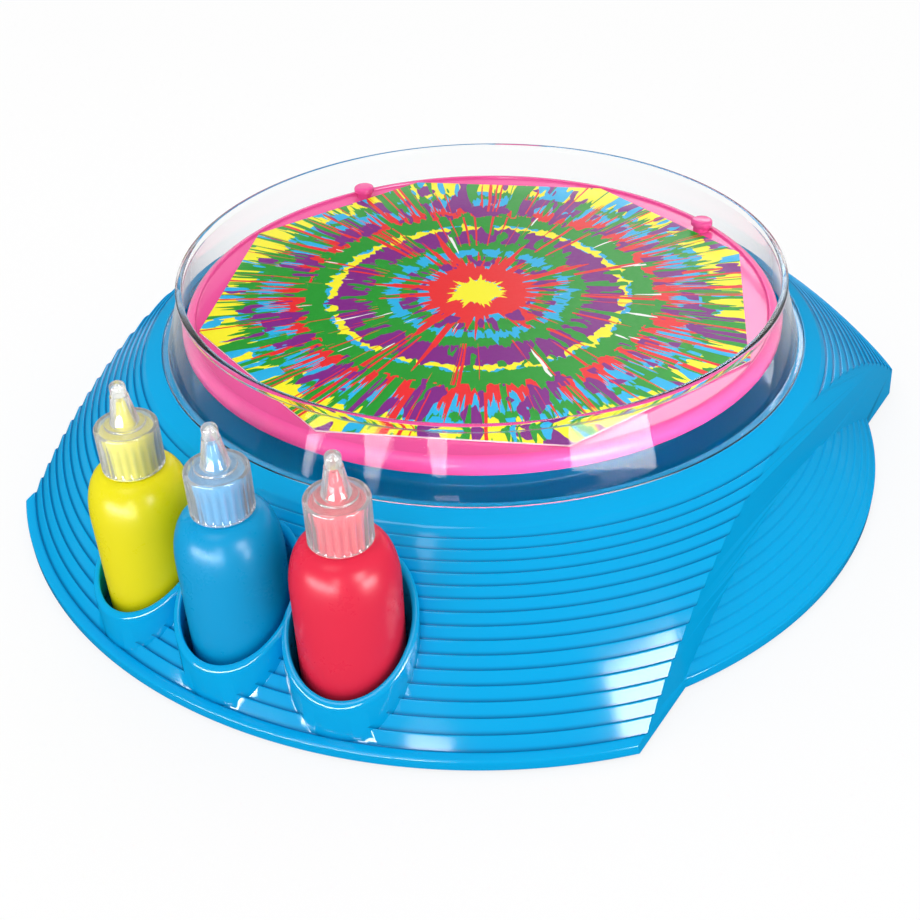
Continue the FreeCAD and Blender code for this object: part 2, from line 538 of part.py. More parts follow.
for end in (1, -1):
    face = size("BoxY + (CellLength / 2 + BoxEnd) * %d" % end)
    thick = size("ContactThickness") * end
    half = size("CellRadius * 0.8")
    low_z = size(CELL_Z) - half
    for index in range(int(size("CellCount"))):
        middle = left + pitch * index
        inner = face - thick
        plate = Part.makeBox(half * 2, abs(thick), half * 2,
                             FreeCAD.Vector(middle - half, min(face, inner), low_z))
        # the cell's nub faces +Y on even cells, so its spring sits at the other end
        if (index % 2 == 0) == (end < 0):
            reach = size("BoxEnd - ContactThickness - SeatGap / 2")
            spring = Part.makeCone(half * 0.9, half * 0.5, reach,
                                   FreeCAD.Vector(middle, inner, size(CELL_Z)),
                                   FreeCAD.Vector(0, -end, 0))
        else:
            reach = size("BoxEnd - ContactThickness - NubHeight - SeatGap / 2")
            spring = Part.makeCylinder(size("NubRadius"), reach,
                                       FreeCAD.Vector(middle, inner, size(CELL_Z)),
                                       FreeCAD.Vector(0, -end, 0))
        contacts.append(plate.fuse(spring).removeSplitter())
cell_group.Shape = Part.makeCompound(cells)
contact_group.Shape = Part.makeCompound(contacts)
keep(cell_group, "battery_cells")
keep(contact_group, "battery_contacts")

# ---------------------------------------------------------------- gears
IDLER = on_circle("GearModule * (SmallTeeth + MainTeeth) / 2", "IdlerAngle")
idler_x, idler_y = size(IDLER[0]), size(IDLER[1])
motor_angle = size("IdlerAngle + MotorTurn")
motor_reach = size("GearModule * (PinionTeeth + WheelTeeth) / 2")
motor_x = idler_x + motor_reach * math.cos(math.radians(motor_angle))
motor_y = idler_y + motor_reach * math.sin(math.radians(motor_angle))


def spur_gear(teeth, addendum, width, bottom, centre, pointing, bore, on_tooth):
    """Spur gear with involute flanks.  A tooth, or a gap, points along an angle in degrees."""
    module = size("GearModule")
    pitch_radius = module * teeth / 2
    base_radius = pitch_radius * math.cos(math.radians(size("PressureAngle")))
    tip = pitch_radius + addendum * module
    root = pitch_radius - size("Dedendum") * module
    flat = math.tan(math.radians(size("PressureAngle"))) - math.radians(size("PressureAngle"))
    half = math.pi / (2 * teeth) - size("Backlash") / (2 * pitch_radius) + flat

    def flank(radius):
        roll = math.acos(min(base_radius / radius, 1.0))
        return half - (math.tan(roll) - roll)

    start = max(base_radius, root)
    reaches = [start, (start + tip) / 2, tip]
    side = [(root, flank(start))] + [(reach, flank(reach)) for reach in reaches]
    if root >= base_radius:
        side = side[1:]
    corners = []
    for index in range(teeth):
        middle = math.radians(pointing) + 2 * math.pi * (index + (0 if on_tooth else 0.5)) / teeth
        corners += [(reach, middle - turn) for reach, turn in side]
        corners += [(reach, middle + turn) for reach, turn in reversed(side)]
    points = [FreeCAD.Vector(centre[0] + reach * math.cos(turn), centre[1] + reach * math.sin(turn), bottom)
              for reach, turn in corners]
    blank = Part.Face(Part.makePolygon(points + points[:1])).extrude(FreeCAD.Vector(0, 0, width))
    hole = Part.makeCylinder(bore, width * 3, FreeCAD.Vector(centre[0], centre[1], bottom - width))
    return blank.cut(hole)


def gear_node(label, *solids):
    gear = doc.addObject("Part::Feature", label)
    shape = solids[0]
    for solid in solids[1:]:
        shape = shape.fuse(solid)
    gear.Shape = shape.removeSplitter()
    return keep(gear, label)


gear_floor = size(GEAR_FLOOR)
small_floor = size(GEAR_FLOOR + " + WheelWidth")
main_floor = size(GEAR_FLOOR + " + WheelWidth + GearStep")
small_width = size("MainWidth + GearStep")
pin_bore = size("IdlerPinRadius + RunningFit")
gear_node("main_gear", spur_gear(
    int(size("MainTeeth")), size("WheelAddendum"), size("MainWidth"), main_floor, (0, 0),
    size("IdlerAngle"), size("SpindleRadius + RunningFit"), True))
gear_node(
    "idler_gear",
    spur_gear(int(size("WheelTeeth")), size("WheelAddendum"), size("WheelWidth"), gear_floor,
              (idler_x, idler_y), motor_angle, pin_bore, True),
    spur_gear(int(size("SmallTeeth")), size("PinionAddendum"), small_width, small_floor,
              (idler_x, idler_y), size("IdlerAngle + 180"), pin_bore, False))
gear_node("motor_pinion", spur_gear(
    int(size("PinionTeeth")), size("PinionAddendum"), size("PinionWidth"), gear_floor,
    (motor_x, motor_y), motor_angle + 180, size("ShaftRadius + RunningFit"), False))
idler_pin = keep(cylinder("idler_pin_rod", "IdlerPinRadius", GEAR_PLATE, GEARS_TOP + " + SeatGap",
                          *IDLER), "idler_pin")

# ---------------------------------------------------------------- gear plate, motor, spindle, bushes
MOTOR = (str(motor_x), str(motor_y))
plate_lobes = [cylinder("gear_plate_lobe_%d" % index, "GearPlateMargin", GEAR_PLATE, GEAR_PLATE_TOP, *spot)
               for index, spot in enumerate(post_places)]
plate_arms = [radial_bar("gear_plate_arm_%d" % index, "0", "PostReach", "GearPlateMargin * 2",
                         GEAR_PLATE, GEAR_PLATE_TOP, str(angle))
              for index, angle in enumerate(POST_ANGLES)]
plate_body = fuse("gear_plate_body",
                  cylinder("gear_plate_middle", "GearPlateMargin * 1.6", GEAR_PLATE, GEAR_PLATE_TOP),
                  cylinder("gear_plate_idler", "GearPlateMargin", GEAR_PLATE, GEAR_PLATE_TOP, *IDLER),
                  cylinder("gear_plate_motor", "MotorRadius + GearPlateMargin / 2", GEAR_PLATE,
                           GEAR_PLATE_TOP, *MOTOR), *(plate_lobes + plate_arms))
keep(cut("gear_plate_cut", plate_body,
         cylinder("lower_bush_bore", "BushRadius + RunningFit", "0", GEAR_FLOOR),
         cylinder("motor_boss_bore", "ShaftRadius * 3", "0", GEAR_FLOOR, *MOTOR),
         cylinder("idler_pin_bore", "IdlerPinRadius", "0", GEAR_FLOOR, *IDLER),
         *[cylinder("gear_plate_hole_%d" % index, "ScrewShank + RunningFit", "0", GEAR_FLOOR, *spot)
           for index, spot in enumerate(post_places)]), "gear_plate")

motor_round = cylinder("motor_round", "MotorRadius", GEAR_PLATE + " - MotorLength", GEAR_PLATE, *MOTOR)
motor_flats = block("motor_flats", (MOTOR[0] + " - MotorRadius", MOTOR[1] + " - MotorFlat",
                                    GEAR_PLATE + " - MotorLength"),
                    (MOTOR[0] + " + MotorRadius", MOTOR[1] + " + MotorFlat", GEAR_PLATE))
motor_boss = cylinder("motor_boss", "ShaftRadius * 3 - RunningFit", GEAR_PLATE, GEAR_PLATE_TOP, *MOTOR)
motor_shaft_bore = cylinder("motor_shaft_bore", "ShaftRadius + RunningFit",
                            GEAR_PLATE + " - MotorLength / 2", FAR, *MOTOR)
keep(cut("motor_can", fuse("motor_body", common("motor_case", motor_round, motor_flats), motor_boss),
         motor_shaft_bore), "motor")
keep(cylinder("motor_shaft_rod", "ShaftRadius", GEAR_PLATE + " - MotorLength / 2 + SeatGap",
              GEAR_FLOOR + " + PinionWidth + SeatGap", *MOTOR), "motor_shaft")

HUB_BOTTOM = BUSH_TOP + " + SeatGap"
SHELL_LOW = TRAY_FACE + " - TrayShell"
SPINDLE_TOP = TRAY_FACE + " - HubFloor"
HEAD_SEAT = TRAY_FACE + " - ScrewHeadHeight"
CLIP_Z = GEAR_PLATE + " - BushFlangeHeight - SeatGap"
SPINDLE_BOTTOM = CLIP_Z + " - SpindleTail"
keep(turned("spindle_rod", [
    ("0", SPINDLE_BOTTOM), ("SpindleRadius", SPINDLE_BOTTOM), ("SpindleRadius", SPINDLE_TOP),
    ("ScrewShank", SPINDLE_TOP), ("ScrewShank", SPINDLE_TOP + " - ScrewBoreDepth"),
    ("0", SPINDLE_TOP + " - ScrewBoreDepth")]), "spindle")
keep(turned("clip_ring", [
    ("SpindleRadius", CLIP_Z), ("SpindleRadius", CLIP_Z + " - BushFlangeHeight / 2"),
    ("SpindleRadius * 2", CLIP_Z + " - BushFlangeHeight / 2"), ("SpindleRadius * 2", CLIP_Z)]),
    "spindle_clip")


def flanged_bush(name, label, flange_low, flange_high, end):
    """Bush with its flange between two heights and its barrel running to an end."""
    return keep(turned(name, [
        ("SpindleRadius + RunningFit", flange_low), ("SpindleRadius + RunningFit", end),
        ("BushRadius", end), ("BushRadius", flange_high), ("BushFlange", flange_high),
        ("BushFlange", flange_low)]), label)


flanged_bush("upper_bush_form", "upper_bush", BUSH_TOP, BOSS_TOP, BUSH_BOTTOM)
flanged_bush("lower_bush_form", "lower_bush", GEAR_PLATE + " - BushFlangeHeight", GEAR_PLATE,
             GEAR_PLATE_TOP + " + SeatGap")

# ---------------------------------------------------------------- turntable and card
tray = turned("tray_disc", [
    ("SpindleRadius", HUB_BOTTOM), ("SpindleRadius", SPINDLE_TOP),
    ("ScrewShank + RunningFit", SPINDLE_TOP), ("ScrewShank + RunningFit", HEAD_SEAT),
    ("ScrewHeadRadius + SeatGap", HEAD_SEAT), ("ScrewHeadRadius + SeatGap", TRAY_FACE),
    (LIP_RADIUS, TRAY_FACE), (LIP_RADIUS, TRAY_FACE + " + LipRise"),
    (TRAY_RADIUS + " - TrayRound", TRAY_FACE + " + LipRise"),
    (TRAY_RADIUS, TRAY_FACE + " + LipRise - TrayRound", "TrayRound", -1),
    (TRAY_RADIUS, TRAY_FACE + " - TraySkirt"), (TRAY_RADIUS + " - TrayShell", TRAY_FACE + " - TraySkirt"),
    (TRAY_RADIUS + " - TrayShell", SHELL_LOW),
    ("HubRadius", SHELL_LOW), ("HubRadius", HUB_BOTTOM)])
peg_forms = []
for index in range(2):
    peg = turned("peg_%d" % index, [
        ("0", TRAY_FACE + " - TrayShell / 2"), ("PegStem", TRAY_FACE + " - TrayShell / 2"),
        ("PegStem", TRAY_FACE + " + PegStemHeight"), ("PegHead", TRAY_FACE + " + PegStemHeight"),
        ("PegHead", TRAY_FACE + " + PegStemHeight + PegHeadHeight / 2"),
        ("PegHead - PegHeadHeight / 2", TRAY_FACE + " + PegStemHeight + PegHeadHeight",
         "PegHeadHeight / 2", 1),
        ("0", TRAY_FACE + " + PegStemHeight + PegHeadHeight")])
    peg_forms.append(place(peg, *on_circle("(CardApothem + PegStandoff)", "(PegAngle + 90 * %d)" % index)))
stiffeners = [radial_bar("tray_rib_%d" % index, "HubRadius - TrayShell", TRAY_RADIUS + " - TrayShell / 2",
                         "TrayRibWidth", TRAY_FACE + " - TrayShell - TrayRibDepth",
                         TRAY_FACE + " - TrayShell / 2", "(360 * %d / TrayRibs)" % index)
              for index in range(int(size("TrayRibs")))]
keep(fuse("turntable_fused", tray, *(peg_forms + stiffeners)), "turntable")
keep(turned("turntable_screw_form", [
    ("0", SPINDLE_TOP + " - ScrewBoreDepth + SeatGap"),
    ("ScrewShank - RunningFit / 2", SPINDLE_TOP + " - ScrewBoreDepth + SeatGap"),
    ("ScrewShank - RunningFit / 2", HEAD_SEAT), ("ScrewHeadRadius", HEAD_SEAT),
    ("ScrewHeadRadius", TRAY_FACE + " - SeatGap * 2"),
    ("ScrewHeadRadius - SeatGap", TRAY_FACE + " - SeatGap"), ("0", TRAY_FACE + " - SeatGap")]),
    "turntable_screw")

CARD_LOW = TRAY_FACE + " + CardGap"
card_sheet = padded("card_sheet", [
    on_circle(CARD_CORNER, "(CardAngle + 45 * %d)" % index) for index in range(8)], "CardThickness")
place(card_sheet, "0", "0", CARD_LOW)
keep(card_sheet, "paint_card")

# ---------------------------------------------------------------- splash guard
GUARD_LOW = GUARD_SEAT + " + CardGap"
GUARD_TOP = "(%s + GuardHeight)" % GUARD_SEAT
GUARD_RADIUS = "(%s + GuardGap)" % TRAY_RADIUS
GUARD_FOOT = "(%s - GuardLean)" % SEAT_RADIUS
keep(turned("guard_ring", [
    (GUARD_FOOT + " - GuardWall", GUARD_LOW), (SEAT_RADIUS + " - GuardFit", GUARD_LOW),
    (SEAT_RADIUS + " - GuardFit", GUARD_LOW + " + GuardSeatDrop"),
    (GUARD_FOOT, GUARD_LOW + " + GuardSeatDrop"),
    (GUARD_RADIUS, GUARD_TOP + " - GuardBead * 2"),
    (GUARD_RADIUS, GUARD_TOP, "GuardBead * 1.15", 1),
    (GUARD_RADIUS + " - GuardWall", GUARD_TOP),
    (GUARD_RADIUS + " - GuardWall", GUARD_TOP + " - GuardBead * 2")]), "splash_guard")

# ---------------------------------------------------------------- power button, spring, switch
FLANGE_TOP = BUTTON_PAD + " - PadThickness - SeatGap"
keep(place(turned("button_cap", [
    ("0", FLANGE_TOP + " - ButtonFlange"),
    ("ButtonRadius + ButtonFlangeWidth", FLANGE_TOP + " - ButtonFlange"),
    ("ButtonRadius + ButtonFlangeWidth", FLANGE_TOP), ("ButtonRadius", FLANGE_TOP),
    ("ButtonRadius", BUTTON_PAD + " + ButtonProud - ButtonFlange"),
    ("ButtonRadius - ButtonFlange", BUTTON_PAD + " + ButtonProud", "ButtonFlange", 1),
    ("0", BUTTON_PAD + " + ButtonProud")]), *BUTTON), "power_button")
SPRING_TOP = FLANGE_TOP + " - ButtonFlange - SeatGap"
switch_case = doc.addObject("Part::Box", "switch_case")
bind(switch_case, "Length", "SwitchLength")
bind(switch_case, "Width", "SwitchWidth")
bind(switch_case, "Height", "SwitchHeight")
place(switch_case, BUTTON[0] + " - SwitchLength / 2", BUTTON[1] + " - SwitchWidth / 2",
      PLATE_TOP + " + SwitchPost")
plunger = cylinder("switch_plunger", "PlungerRadius", SWITCH_TOP + " - SwitchHeight / 2",
                   SPRING_TOP + " - ButtonTravel - SeatGap", *BUTTON)
keep(fuse("switch_fused", switch_case, plunger), "power_switch")
coil = doc.addObject("Part::Feature", "button_spring")
rise = size("%s - %s - SpringWire * 2 - SeatGap" % (SPRING_TOP, SWITCH_TOP))
coil_radius = size("PlungerRadius + SpringWire * 3")
helix = Part.makeHelix(rise / size("SpringTurns"), rise, coil_radius)
wire_end = Part.Wire(Part.makeCircle(size("SpringWire"), FreeCAD.Vector(coil_radius, 0, 0),
                                     FreeCAD.Vector(0, 1, 0)))
coil.Shape = Part.Wire(helix.Edges).makePipeShell([wire_end], True, True)
coil.Placement = FreeCAD.Placement(
    FreeCAD.Vector(size(BUTTON[0]), size(BUTTON[1]), size(SWITCH_TOP + " + SpringWire + SeatGap / 2")),
    FreeCAD.Rotation())
keep(coil, "button_spring")

# ---------------------------------------------------------------- paint bottles
BOTTLE_Z = "RimBottom + CupFloor + BottleFloorGap"
NECK_TOP = "(BottleHeight + NeckHeight)"
CAP_TOP = "(BottleHeight + CapGap + CapHeight)"
for index, (name, centre) in enumerate(zip(CUP_NAMES, cup_centres)):
    flask = turned(name + "_flask", [
        ("0", "0"), ("BottleRadius - BottleRound", "0"),
        ("BottleRadius", "BottleRound", "BottleRound", 1), ("BottleRadius", "BottleBody"),
        ("NeckRadius", "BottleHeight", "ShoulderRound", 1), ("NeckRadius", NECK_TOP),
        ("NeckRadius - BottleWall", NECK_TOP), ("NeckRadius - BottleWall", "BottleHeight"),
        ("BottleRadius - BottleWall", "BottleBody", "ShoulderRound", -1),
        ("BottleRadius - BottleWall", "BottleRound"), ("BottleRadius - BottleRound", "BottleWall"),
        ("0", "BottleWall")])
    keep(place(flask, centre[0], centre[1], BOTTLE_Z), name + "_bottle")
    nozzle = turned(name + "_nozzle_form", [
        ("NozzleBore", "BottleHeight + NeckHeight / 2"),
        ("NeckRadius - BottleWall - RunningFit", "BottleHeight + NeckHeight / 2"),
        ("NeckRadius - BottleWall - RunningFit", NECK_TOP), ("SpoutFoot - SpoutWall * 1.5", NECK_TOP),
        ("NozzleTip", NECK_TOP + " + NozzleHeight"), ("NozzleBore", NECK_TOP + " + NozzleHeight")])
    keep(place(nozzle, centre[0], centre[1], BOTTLE_Z), name + "_nozzle")
    collar = turned(name + "_collar_form", [
        ("NeckRadius + CapGap", "BottleHeight + CapGap"), ("CapRadius", "BottleHeight + CapGap"),
        ("CapRadius", CAP_TOP + " - CapWall"), ("CapRadius - CapWall", CAP_TOP),
        ("SpoutFoot + SpoutWall", CAP_TOP), ("SpoutFoot", CAP_TOP + " + SpoutWall"),
        ("SpoutTip", CAP_TOP + " + SpoutHeight - SpoutTip / 2"),
        ("SpoutTip / 2", CAP_TOP + " + SpoutHeight"), ("0", CAP_TOP + " + SpoutHeight"),
        ("0", CAP_TOP + " + SpoutHeight - SpoutWall"),
        ("SpoutTip - SpoutWall", CAP_TOP + " + SpoutHeight - SpoutTip"),
        ("SpoutFoot - SpoutWall", CAP_TOP + " - CapWall"),
        ("NeckRadius + CapGap", CAP_TOP + " - CapWall")])
    sketch = outline(collar, name + "_flute_outline", "XY_Plane", [
        ("CapRadius - FluteDepth", "-FluteDepth"), ("CapRadius + FluteDepth", "-FluteDepth * 2"),
        ("CapRadius + FluteDepth", "FluteDepth * 2"), ("CapRadius - FluteDepth", "FluteDepth")])
    bind(sketch, "AttachmentOffset.Base.z", "BottleHeight + CapGap")
    doc.recompute()
    flute = collar.newObject("PartDesign::Pocket", name + "_flute")
    flute.Profile = (sketch, [""])
    flute.Reversed = True
    bind(flute, "Length", "CapHeight * 0.62")
    flutes = collar.newObject("PartDesign::PolarPattern", name + "_flutes")
    flutes.Originals = [flute]
    flutes.Axis = (sketch, ["N_Axis"])
    flutes.Angle = 360.0
    bind(flutes, "Occurrences", "CapFlutes")
    collar.Tip = flutes
    keep(place(collar, centre[0], centre[1], BOTTLE_Z), name + "_cap")

# ---------------------------------------------------------------- check and export
doc.recompute()
for item in doc.Objects:
    if "Invalid" in item.State or "Error" in item.State:
        raise RuntimeError("%s failed: %s" % (item.Label, item.State))
for node in nodes:
    if node.Shape.isNull() or not node.Shape.isValid():
        raise RuntimeError("%s has no valid shape" % node.Label)
os.makedirs("parts", exist_ok=True)
for node in nodes:
    node.Shape.exportStep("parts/%s.step" % node.Label)
    print("%-18s solids %2d  volume %10.1f" % (node.Label, len(node.Shape.Solids), node.Shape.Volume))
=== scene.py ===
import math

import bmesh
import bpy
from mathutils import Matrix, Vector


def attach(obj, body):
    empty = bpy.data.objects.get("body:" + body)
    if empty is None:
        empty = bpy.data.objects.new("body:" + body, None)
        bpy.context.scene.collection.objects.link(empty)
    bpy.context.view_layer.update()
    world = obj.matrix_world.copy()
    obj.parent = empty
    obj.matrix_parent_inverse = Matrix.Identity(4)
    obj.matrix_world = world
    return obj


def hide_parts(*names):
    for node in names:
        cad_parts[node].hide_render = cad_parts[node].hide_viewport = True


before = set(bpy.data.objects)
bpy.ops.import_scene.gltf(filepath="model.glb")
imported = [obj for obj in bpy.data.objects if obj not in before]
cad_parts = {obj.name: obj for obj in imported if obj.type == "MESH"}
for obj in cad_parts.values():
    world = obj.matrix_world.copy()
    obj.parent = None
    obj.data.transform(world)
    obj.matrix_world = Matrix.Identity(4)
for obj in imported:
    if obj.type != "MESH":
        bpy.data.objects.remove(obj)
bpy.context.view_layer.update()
MM = 0.001

# ------------------------------------------------------------------ blue moulded housing
# The dome, splash bowl, bottle cups and arched recesses come out of one mould in glossy ABS.  The ribs
# round its side are terraces: a steep band with a soft upper edge, then a narrow ledge.
LAND_RADIUS, DOME_TOP, RIM_TOP, RIM_BOTTOM, RIM_INSET = 111.1, 43.3, 4.6, 0.8, 2.78
RIM_FALL, WALL, LAND_ROUND = 0.4, 2.2, 0.5
DOME_SLOPE, DOME_BULGE = math.radians(41.86), 2.0
RIB_COUNT, RIB_GROWTH, RIB_STEP, RIB_ROOT_ROUND, RIB_EDGE_ROUND = 16, 0.2, 0.9, 0.3, 0.45
DECK, SEAT, SEAT_RADIUS = 46.0, 44.6, 105.6
BOWL_TOP, BOWL_EDGE, BOWL_FLOOR = 102.2, 99.0, 33.5
PLATEAU_FOOT, PLATEAU_EDGE, PLATEAU_TOP = 81.0, 77.5, 43.6
DOME_HEIGHT = DOME_TOP - RIM_TOP
DOME_WIDTH = DOME_HEIGHT / math.tan(DOME_SLOPE)
BASE_RADIUS = LAND_RADIUS + DOME_WIDTH + RIM_INSET
ROUND_STEPS, WELD_GAP, SHARP_ANGLE = 4, 0.005, 38


def lathe(name, profile, steps, about=(0, 0), closed=False):
    """Piece turned about an upright axis.  Each corner is (radius, height) or (radius, height, round)."""
    mesh = bmesh.new()
    corners = [mesh.verts.new((corner[0] * MM, 0, corner[1] * MM)) for corner in profile]
    for first, second in zip(corners, corners[1:]):
        mesh.edges.new((first, second))
    if closed:
        mesh.edges.new((corners[-1], corners[0]))
    rounded = {}
    for vertex, corner in zip(corners, profile):
        if len(corner) > 2:
            rounded.setdefault(corner[2], []).append(vertex)
    for size, vertices in rounded.items():
        bmesh.ops.bevel(mesh, geom=vertices, offset=size * MM, segments=ROUND_STEPS,
                        profile=0.5, affect="VERTICES", material=-1)
    bmesh.ops.spin(mesh, geom=mesh.verts[:] + mesh.edges[:], cent=(0, 0, 0), axis=(0, 0, 1),
                   angle=math.tau, steps=steps, use_merge=True)
    bmesh.ops.remove_doubles(mesh, verts=mesh.verts[:], dist=WELD_GAP * MM)
    bmesh.ops.delete(mesh, geom=[edge for edge in mesh.edges if edge.is_wire], context="EDGES")
    bmesh.ops.recalc_face_normals(mesh, faces=mesh.faces[:])
    bmesh.ops.translate(mesh, verts=mesh.verts[:], vec=(about[0] * MM, about[1] * MM, 0))
    return as_piece(name, mesh)


def as_piece(name, mesh):
    data = bpy.data.meshes.new(name)
    mesh.to_mesh(data)
    mesh.free()
    piece = bpy.data.objects.new(name, data)
    bpy.context.collection.objects.link(piece)
    return piece


def combine(piece, other, operation):
    """Joins, cuts or intersects a piece with another one, which is used up."""
    modifier = piece.modifiers.new("combine", "BOOLEAN")
    modifier.operation = operation
    modifier.solver = "MANIFOLD"
    modifier.object = other
    made = bpy.data.meshes.new_from_object(piece.evaluated_get(bpy.context.evaluated_depsgraph_get()))
    piece.modifiers.clear()
    piece.data = made
    bpy.data.objects.remove(other)
    return piece


def soft_shaded(piece):
    """Smooth shading with the sharper edges kept."""
    mesh = bmesh.new()
    mesh.from_mesh(piece.data)
    for face in mesh.faces:
        face.smooth = True
    for edge in mesh.edges:
        edge.smooth = edge.is_manifold and edge.calc_face_angle(math.pi) < math.radians(SHARP_ANGLE)
    mesh.to_mesh(piece.data)
    mesh.free()


def at(reach, degrees):
    return reach * math.cos(math.radians(degrees)), reach * math.sin(math.radians(degrees))


def dome_point(step, depth=0.0):
    """Point on the bulging slope at a rib's edge; the ribs grow wider towards the foot."""
    count = step / RIB_COUNT
    share = count * (1 - RIB_GROWTH * (1 - count))
    rise = DOME_BULGE * 4 * share * (1 - share) - depth
    return (LAND_RADIUS + DOME_WIDTH * share + rise * math.sin(DOME_SLOPE),
            DOME_TOP - DOME_HEIGHT * share + rise * math.cos(DOME_SLOPE))


side = [dome_point(0) + (LAND_ROUND,)]
for step in range(1, RIB_COUNT + 1):
    side += [dome_point(step, RIB_STEP) + (RIB_ROOT_ROUND,), dome_point(step) + (RIB_EDGE_ROUND,)]
dome = lathe("dome", [
    (0, PLATEAU_TOP), (PLATEAU_EDGE, PLATEAU_TOP, 1.5), (PLATEAU_FOOT, BOWL_FLOOR, 1.5),
    (BOWL_EDGE, BOWL_FLOOR, 2.5), (BOWL_TOP, SEAT, 0.3), (SEAT_RADIUS, SEAT),
    (SEAT_RADIUS, DECK, LAND_ROUND),
] + side + [(BASE_RADIUS, RIM_TOP - RIM_FALL, 0.6), (BASE_RADIUS, RIM_BOTTOM, 0.4), (0, RIM_BOTTOM)],
    steps=360)
hollow_side = [dome_point(step, WALL + RIB_STEP) for step in range(0, RIB_COUNT + 1, 2)]
hollow = lathe("dome_hollow", [
    (0, PLATEAU_TOP - WALL), (PLATEAU_EDGE - WALL, PLATEAU_TOP - WALL),
    (PLATEAU_FOOT - WALL, BOWL_FLOOR - WALL), (BOWL_EDGE + WALL, BOWL_FLOOR - WALL),
    (BOWL_TOP + WALL, SEAT - WALL), (hollow_side[0][0], SEAT - WALL),
] + hollow_side[1:] + [(BASE_RADIUS - WALL - RIB_STEP, RIM_BOTTOM - WALL), (0, RIM_BOTTOM - WALL)],
    steps=96)

# Blocks and bars to cut with reach well past the housing; PAST is how far a cut runs beyond a face.
BLOCK, CUTTER_TOP, COLUMN_TOP, PAST = 400, 80, 60, 1


def beyond_plane(angle, reach, draft=0.0):
    """Solid block that fills the space outside an upright plane, which leans inwards by a draft."""
    mesh = bmesh.new()
    bmesh.ops.create_cube(mesh, size=BLOCK * MM)
    bmesh.ops.translate(mesh, verts=mesh.verts[:], vec=(BLOCK / 2 * MM, 0, 0))
    turn = (Matrix.Rotation(math.radians(angle), 4, "Z") @ Matrix.Translation((reach * MM, 0, 0))
            @ Matrix.Rotation(math.radians(-draft), 4, "Y"))
    bmesh.ops.transform(mesh, verts=mesh.verts[:], matrix=turn)
    return as_piece("beyond_plane", mesh)


def put(piece, x, y):
    piece.data.transform(Matrix.Translation((x * MM, y * MM, 0)))
    return piece


def round_bar(name, radius, low, high, spot=(0, 0)):
    return put(lathe(name, [(0, low), (radius, low), (radius, high), (0, high)], steps=96), *spot)


# In plan the rim is set in behind the recesses, on the side away from the cups.
CUP_MIDDLE, BACK_INSET = -120.6, 7.8


def footprint(setback):
    back_radius = BASE_RADIUS - BACK_INSET - setback
    back = lathe("footprint", [(0, -CUTTER_TOP), (back_radius, -CUTTER_TOP), (back_radius, CUTTER_TOP),
                               (0, CUTTER_TOP)], steps=360)
    return combine(back, beyond_plane(CUP_MIDDLE, 0), "UNION")


# The recesses: drafted flats cut through the dome, each closed low down by a shallow ribbed skirt whose
# axis is set back behind the spindle.
RECESSES = {"right": (-34.5, BASE_RADIUS - 41.3, 165.5), "left": (155.5, BASE_RADIUS - 35.6, 315.5)}
RECESS_DRAFT = 5.7
SKIRT_ARC, SKIRT_SETBACK, SKIRT_SLOPE, SKIRT_RIBS, SKIRT_TOP, SKIRT_STEP = 149.7, 15.6, 1.14, 11, 28.0, 0.7
skirt_side = [(SKIRT_ARC, RIM_BOTTOM, 0.4), (SKIRT_ARC, RIM_TOP, 0.5)]
for step in range(SKIRT_RIBS):
    low, high = (RIM_TOP + (SKIRT_TOP - RIM_TOP) * part / SKIRT_RIBS for part in (step, step + 1))
    skirt_side += [(SKIRT_ARC - SKIRT_SLOPE * (low - RIM_TOP) - SKIRT_STEP, low, 0.25),
                   (SKIRT_ARC - SKIRT_SLOPE * (high - RIM_TOP), high, 0.4)]
skirt_in = SKIRT_ARC - WALL - RIB_STEP
housing = combine(dome, footprint(0), "INTERSECT")
hollow = combine(hollow, footprint(WALL), "INTERSECT")
skirts, skirt_hollows = [], []
for angle, reach, axis_angle in RECESSES.values():
    axis = at(SKIRT_SETBACK, axis_angle)
    skirt = lathe("skirt", [(0, RIM_BOTTOM)] + skirt_side + [(0, SKIRT_TOP)], steps=480, about=axis)
    skirts.append(combine(skirt, beyond_plane(angle, reach, RECESS_DRAFT), "INTERSECT"))
    skirt_hollow = lathe("skirt_hollow", [
        (0, RIM_BOTTOM - WALL), (skirt_in, RIM_BOTTOM - WALL), (skirt_in, RIM_TOP - WALL),
        (skirt_in - SKIRT_SLOPE * (SKIRT_TOP - RIM_TOP), SKIRT_TOP - WALL), (0, SKIRT_TOP - WALL),
    ], steps=180, about=axis)
    skirt_hollows.append(combine(
        skirt_hollow, beyond_plane(angle, reach - WALL - RIB_STEP, RECESS_DRAFT), "INTERSECT"))
    housing = combine(housing, beyond_plane(angle, reach, RECESS_DRAFT), "DIFFERENCE")
    hollow = combine(hollow, beyond_plane(angle, reach - WALL, RECESS_DRAFT), "DIFFERENCE")
for skirt, skirt_hollow in zip(skirts, skirt_hollows):
    housing = combine(housing, skirt, "UNION")
    hollow = combine(hollow, skirt_hollow, "UNION")

